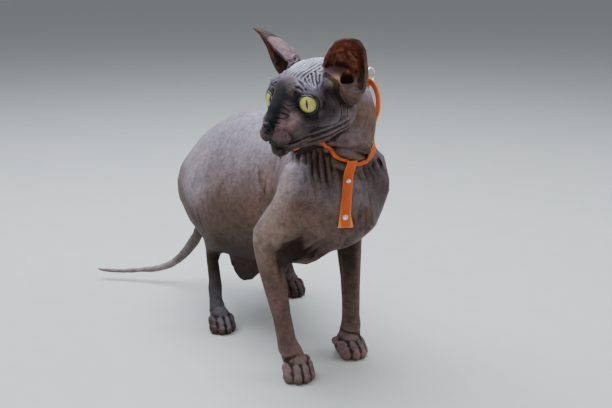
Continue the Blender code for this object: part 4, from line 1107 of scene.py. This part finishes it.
def eyeBall(side):
    bm = bmesh.new()
    layer = bm.loops.layers.uv.new("gaze")
    centre, axes = eyeCentre(side), gazeAxes(side)
    rings, around = 56, 72
    grid = []
    for i in range(rings + 1):
        lean = math.pi * i / rings
        swell = 1.1 * (1 - min(math.degrees(lean) / 47, 1) ** 2) if math.degrees(lean) < 47 else 0
        row = []
        for k in range(around):
            angle = 2 * math.pi * k / around
            way = Vector((math.sin(lean) * math.cos(angle), math.sin(lean) * math.sin(angle), math.cos(lean)))
            row.append(bm.verts.new(onHead(*(centre + axes @ (way * (eyeSettings["radius"] + swell))))))
        grid.append(row)
    for i in range(rings):
        for k in range(around):
            after = (k + 1) % around
            face = bm.faces.new((grid[i][k], grid[i][after], grid[i + 1][after], grid[i + 1][k]))
            for loop, (step, col) in zip(face.loops, ((i, k), (i, k + 1), (i + 1, k + 1), (i + 1, k))):
                far, angle = step / rings * 2, 2 * math.pi * col / around
                loop[layer].uv = (far * math.cos(angle), far * math.sin(angle))
    bmesh.ops.remove_doubles(bm, verts=bm.verts, dist=1e-7)
    bmesh.ops.recalc_face_normals(bm, faces=bm.faces)
    ball = pieceFrom("eyeLeft" if side > 0 else "eyeRight", bm)
    smoothShaded(ball)
    return ball


def eyeMaterial():
    # yellow-green iris with radial fibres, a dark outer ring and a slit pupil under a wet cornea
    recipe = Recipe("wetEye")
    flat = recipe.node("ShaderNodeUVMap", {"uv_map": "gaze"}, {})
    across = recipe.node("ShaderNodeSeparateXYZ", {}, {0: flat}, 0)
    up = recipe.node("ShaderNodeSeparateXYZ", {}, {0: flat}, 1)
    far = (across * across + up * up) ** 0.5
    radius = far / (eyeSettings["iris"] / 90)
    polar = recipe.node("ShaderNodeCombineXYZ", {}, {0: across / (far + 0.001) * 9, 1: up / (far + 0.001) * 9,
                                                     2: radius * 2.2})
    fibres = recipe.noise(polar, 1.9, 4.0, 0.65)
    blotches = recipe.noise(polar, 0.5, 2.0, 0.5)
    iris = recipe.node("ShaderNodeValToRGB", {"stops": [
        (0.0, (0.5, 0.36, 0.05)), (0.3, (0.62, 0.55, 0.12)), (0.62, (0.5, 0.5, 0.12)), (0.83, (0.26, 0.28, 0.045)),
        (0.93, (0.05, 0.055, 0.012)), (1.0, (0.004, 0.004, 0.004))]}, {0: radius + (blotches - 0.5) * 0.12})
    fibred = recipe.mixed(((fibres - 0.48) * 6).clamped() * 0.75, iris, (0.13, 0.11, 0.014))
    lit = recipe.mixed(((0.42 - fibres) * 7).clamped() * 0.6, fibred, (0.85, 0.8, 0.34))
    ring = ((radius - 0.9) * 14).clamped()
    ringed = recipe.mixed(ring, lit, (0.006, 0.005, 0.005))
    white = ((radius - 1.12) * 10).clamped()
    balled = recipe.mixed(white, ringed, (0.1, 0.06, 0.05))
    wide, high = eyeSettings["pupilWide"] / 90, eyeSettings["pupilHigh"] / 90
    gap = (1 - (up / high) * (up / high)) * wide - across.size()
    slit = (gap * 55 + 0.5).clamped()
    coloured = recipe.mixed(slit, balled, (0.002, 0.002, 0.002))
    dent = recipe.bump(fibres, 0.0002, 0.3)
    return recipe.finish({"Base Color": coloured, "Roughness": 0.3 - slit * 0.15, "Normal": dent, "Coat Weight": 1.0,
                          "Coat Roughness": 0.02, "Coat IOR": 1.38, "Specular IOR Level": 0.3})


def wetRimMaterial():
    recipe = Recipe("lidRim")
    place = recipe.place()
    grain = recipe.noise(place, 700.0, 3.0)
    colour = recipe.mixed(((grain - 0.45) * 4).clamped(), (0.008, 0.007, 0.008), (0.03, 0.024, 0.026))
    return recipe.finish({"Base Color": colour, "Roughness": 0.18 + grain * 0.2, "Normal": recipe.bump(grain, 0.0003, 0.4),
                          "Coat Weight": 0.5, "Coat Roughness": 0.1})


def tube(name, rings, radius, closed=True, sides=10):
    # a round tube through places with their outward ways; radius may be one number or one for each place
    bm = bmesh.new()
    loops = []
    count = len(rings)
    for i, (place, out) in enumerate(rings):
        run = (rings[(i + 1) % count][0] - rings[i - 1][0]).normalized()
        across = run.cross(out).normalized()
        rise = across.cross(run)
        size = (radius[i] if isinstance(radius, list) else radius) * mm
        loops.append([bm.verts.new(place + (across * math.cos(2 * math.pi * k / sides)
                                            + rise * math.sin(2 * math.pi * k / sides)) * size)
                      for k in range(sides)])
    for i in range(count if closed else count - 1):
        for k in range(sides):
            bm.faces.new((loops[i][k], loops[i][(k + 1) % sides], loops[(i + 1) % count][(k + 1) % sides],
                          loops[(i + 1) % count][k]))
    bmesh.ops.recalc_face_normals(bm, faces=bm.faces)
    piece = pieceFrom(name, bm)
    smoothShaded(piece)
    return piece


def lidRim(side):
    centre, axes = eyeCentre(side), eyeTurn(side)
    rings, sizes = [], []
    for k in range(96):
        angle = 2 * math.pi * k / 96
        lean = math.radians(openingShape(angle) + 2)
        way = axes @ Vector((math.sin(lean) * math.cos(angle), math.cos(lean), math.sin(lean) * math.sin(angle)))
        place = centre + way * (eyeSettings["radius"] + 0.5)
        rings.append((onHead(*place), headTurn.to_3x3() @ way))
        sizes.append(eyeSettings["rimThick"] * (1.25 if math.sin(angle) > 0.1 else 0.9))
    return tube("lidRimLeft" if side > 0 else "lidRimRight", rings, sizes)


eyeLook, rimLook = eyeMaterial(), wetRimMaterial()
eyes = {}
for side in (-1, 1):
    ball, rim = eyeBall(side), lidRim(side)
    ball.data.materials.append(eyeLook)
    rim.data.materials.append(rimLook)
    eyes[side] = (ball, rim)
print("eyes made")

# Webbing, rivets, ring and floor


def webbingMaterial():
    # orange nylon webbing: a twill of small ribs, two stitched lines, worn lighter edges and grime
    recipe = Recipe("orangeWebbing")
    flat = recipe.node("ShaderNodeUVMap", {"uv_map": "weave"}, {})
    place = recipe.place()
    along = recipe.node("ShaderNodeSeparateXYZ", {}, {0: flat}, 0)
    across = recipe.node("ShaderNodeSeparateXYZ", {}, {0: flat}, 1)
    ribs = recipe.node("ShaderNodeMath", {"operation": "SINE"}, {0: (along + across * 0.8) * 7.0})
    wefts = recipe.node("ShaderNodeMath", {"operation": "SINE"}, {0: across * 9.0})
    weave = ribs * 0.5 + wefts * 0.35 + 0.5
    edge = ((across.size() - 4.3) * 3).clamped()
    seam = (1 - ((across.size() - 3.7) * 3.2).size()).clamped()
    dash = (recipe.node("ShaderNodeMath", {"operation": "SINE"}, {0: along * 2.4}) * 3).clamped()
    stitch = seam * dash
    wear = recipe.noise(place, 120.0, 4.0, 0.6)
    grime = ((recipe.noise(place, 45.0, 3.0, 0.6) - 0.5) * 3).clamped()
    base = recipe.mixed(weave.clamped(), (0.5, 0.055, 0.004), (0.93, 0.155, 0.012))
    faded = recipe.mixed((edge * wear * 1.3).clamped(), base, (1.0, 0.36, 0.08))
    stitched = recipe.mixed(stitch * 0.8, faded, (1.0, 0.3, 0.045))
    dirty = recipe.mixed(grime * 0.3, stitched, (0.25, 0.035, 0.005))
    height = weave + stitch * 1.6 + wear * 0.4
    return recipe.finish({"Base Color": dirty, "Roughness": (0.62 + wear * 0.25 - stitch * 0.15).clamped(),
                          "Normal": recipe.bump(height, 0.00035, 0.7), "Sheen Weight": 0.12,
                          "Sheen Roughness": 0.5, "Sheen Tint": (1.0, 0.6, 0.35)})


def steelMaterial():
    recipe = Recipe("polishedSteel")
    place = recipe.place()
    scratches = recipe.noise(recipe.stretched(place, (1.0, 1.0, 9.0)), 900.0, 3.0)
    smears = recipe.noise(place, 260.0, 3.0)
    colour = recipe.mixed(smears, (0.62, 0.62, 0.63), (0.88, 0.87, 0.85))
    return recipe.finish({"Base Color": colour, "Metallic": 1.0, "Roughness": (0.12 + scratches * 0.2 + smears * 0.1),
                          "Normal": recipe.bump(scratches, 0.0001, 0.3)})


def floorMaterial():
    recipe = Recipe("paleFloor")
    place = recipe.place()
    grain = recipe.noise(place, 30.0, 4.0)
    colour = recipe.mixed(grain, (0.60, 0.63, 0.62), (0.68, 0.70, 0.69))
    return recipe.finish({"Base Color": colour, "Roughness": 0.75 + grain * 0.15,
                          "Normal": recipe.bump(grain, 0.0005, 0.1)})


def rivet(name, node):
    # a domed head on a flat skirt, as wide as the CAD rivet, facing the same way
    centre = centreOf(node)
    tree = dressedTrees[0]
    hit, normal = straps["chestStrapTree"].find_nearest(centre)[:2]
    out = normal.normalized()
    bm = bmesh.new()
    across = out.orthogonal().normalized()
    up = out.cross(across)
    profile = [(2.6, 0.0), (2.6, 0.35), (2.35, 0.5), (2.05, 0.55), (1.85, 0.85), (1.2, 1.2), (0.5, 1.33)]
    rows = []
    for reach, high in profile:
        rows.append([bm.verts.new(hit + (across * math.cos(math.pi * k / 14) + up * math.sin(math.pi * k / 14)) * reach * mm
                                  + out * (high - 0.1) * mm) for k in range(28)])
    for i in range(len(rows) - 1):
        for k in range(28):
            bm.faces.new((rows[i][k], rows[i][(k + 1) % 28], rows[i + 1][(k + 1) % 28], rows[i + 1][k]))
    bm.faces.new(list(reversed(rows[0])))
    bm.faces.new(rows[-1])
    bmesh.ops.recalc_face_normals(bm, faces=bm.faces)
    piece = pieceFrom(name, bm)
    smoothShaded(piece)
    return piece


def steelRing():
    # a round wire ring on the CAD ring's middle and plane
    centre = centreOf("ring")
    places = np.array([vert.co for vert in nodes["ring"].data.vertices]) - np.array(centre)
    axis = Vector(np.linalg.svd(places, full_matrices=False)[2][2])
    across = axis.orthogonal().normalized()
    up = axis.cross(across)
    reach = np.linalg.norm(places - np.outer(places @ np.array(axis), np.array(axis)), axis=1)
    middle, thick = (reach.max() + reach.min()) / 2, (reach.max() - reach.min()) / 2 / mm
    rings = []
    for k in range(64):
        angle = 2 * math.pi * k / 64
        way = across * math.cos(angle) + up * math.sin(angle)
        rings.append((centre + way * middle, way))
    return tube("steelRing", rings, thick, True, 14)


straps["chestStrapTree"] = treeOf(straps["chestStrap"])
rivets = {"rivet_upper": rivet("rivetUpper", "rivet_upper"), "rivet_lower": rivet("rivetLower", "rivet_lower")}
del straps["chestStrapTree"]
ring = steelRing()
steelLook = steelMaterial()
for piece in [ring] + list(rivets.values()):
    piece.data.materials.append(steelLook)
webbingLook = webbingMaterial()
for piece in straps.values():
    piece.data.materials.append(webbingLook)
floor.data.materials.append(floorMaterial())
keeper = nodes["ring_keeper"]
keeper.data.materials.clear()
keeper.data.materials.append(webbingLook)
print("harness and floor painted")

for name in trunkNodes + pawNodes + headNodes + tailNodes:
    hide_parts(name)
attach(skin, "root")
for name, piece in straps.items():
    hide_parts({"neckStrap": "neck_strap", "girthStrap": "girth_strap", "chestStrap": "chest_strap",
                        "backStrap": "back_strap"}[name])
    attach(piece, "root")
for side, name in ((1, "eye_left"), (-1, "eye_right")):
    ball, rim = eyes[side]
    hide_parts(name)
    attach(ball, "root")
    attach(rim, "root")
for name, piece in rivets.items():
    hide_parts(name)
    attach(piece, "root")
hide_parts("ring")
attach(ring, "root")
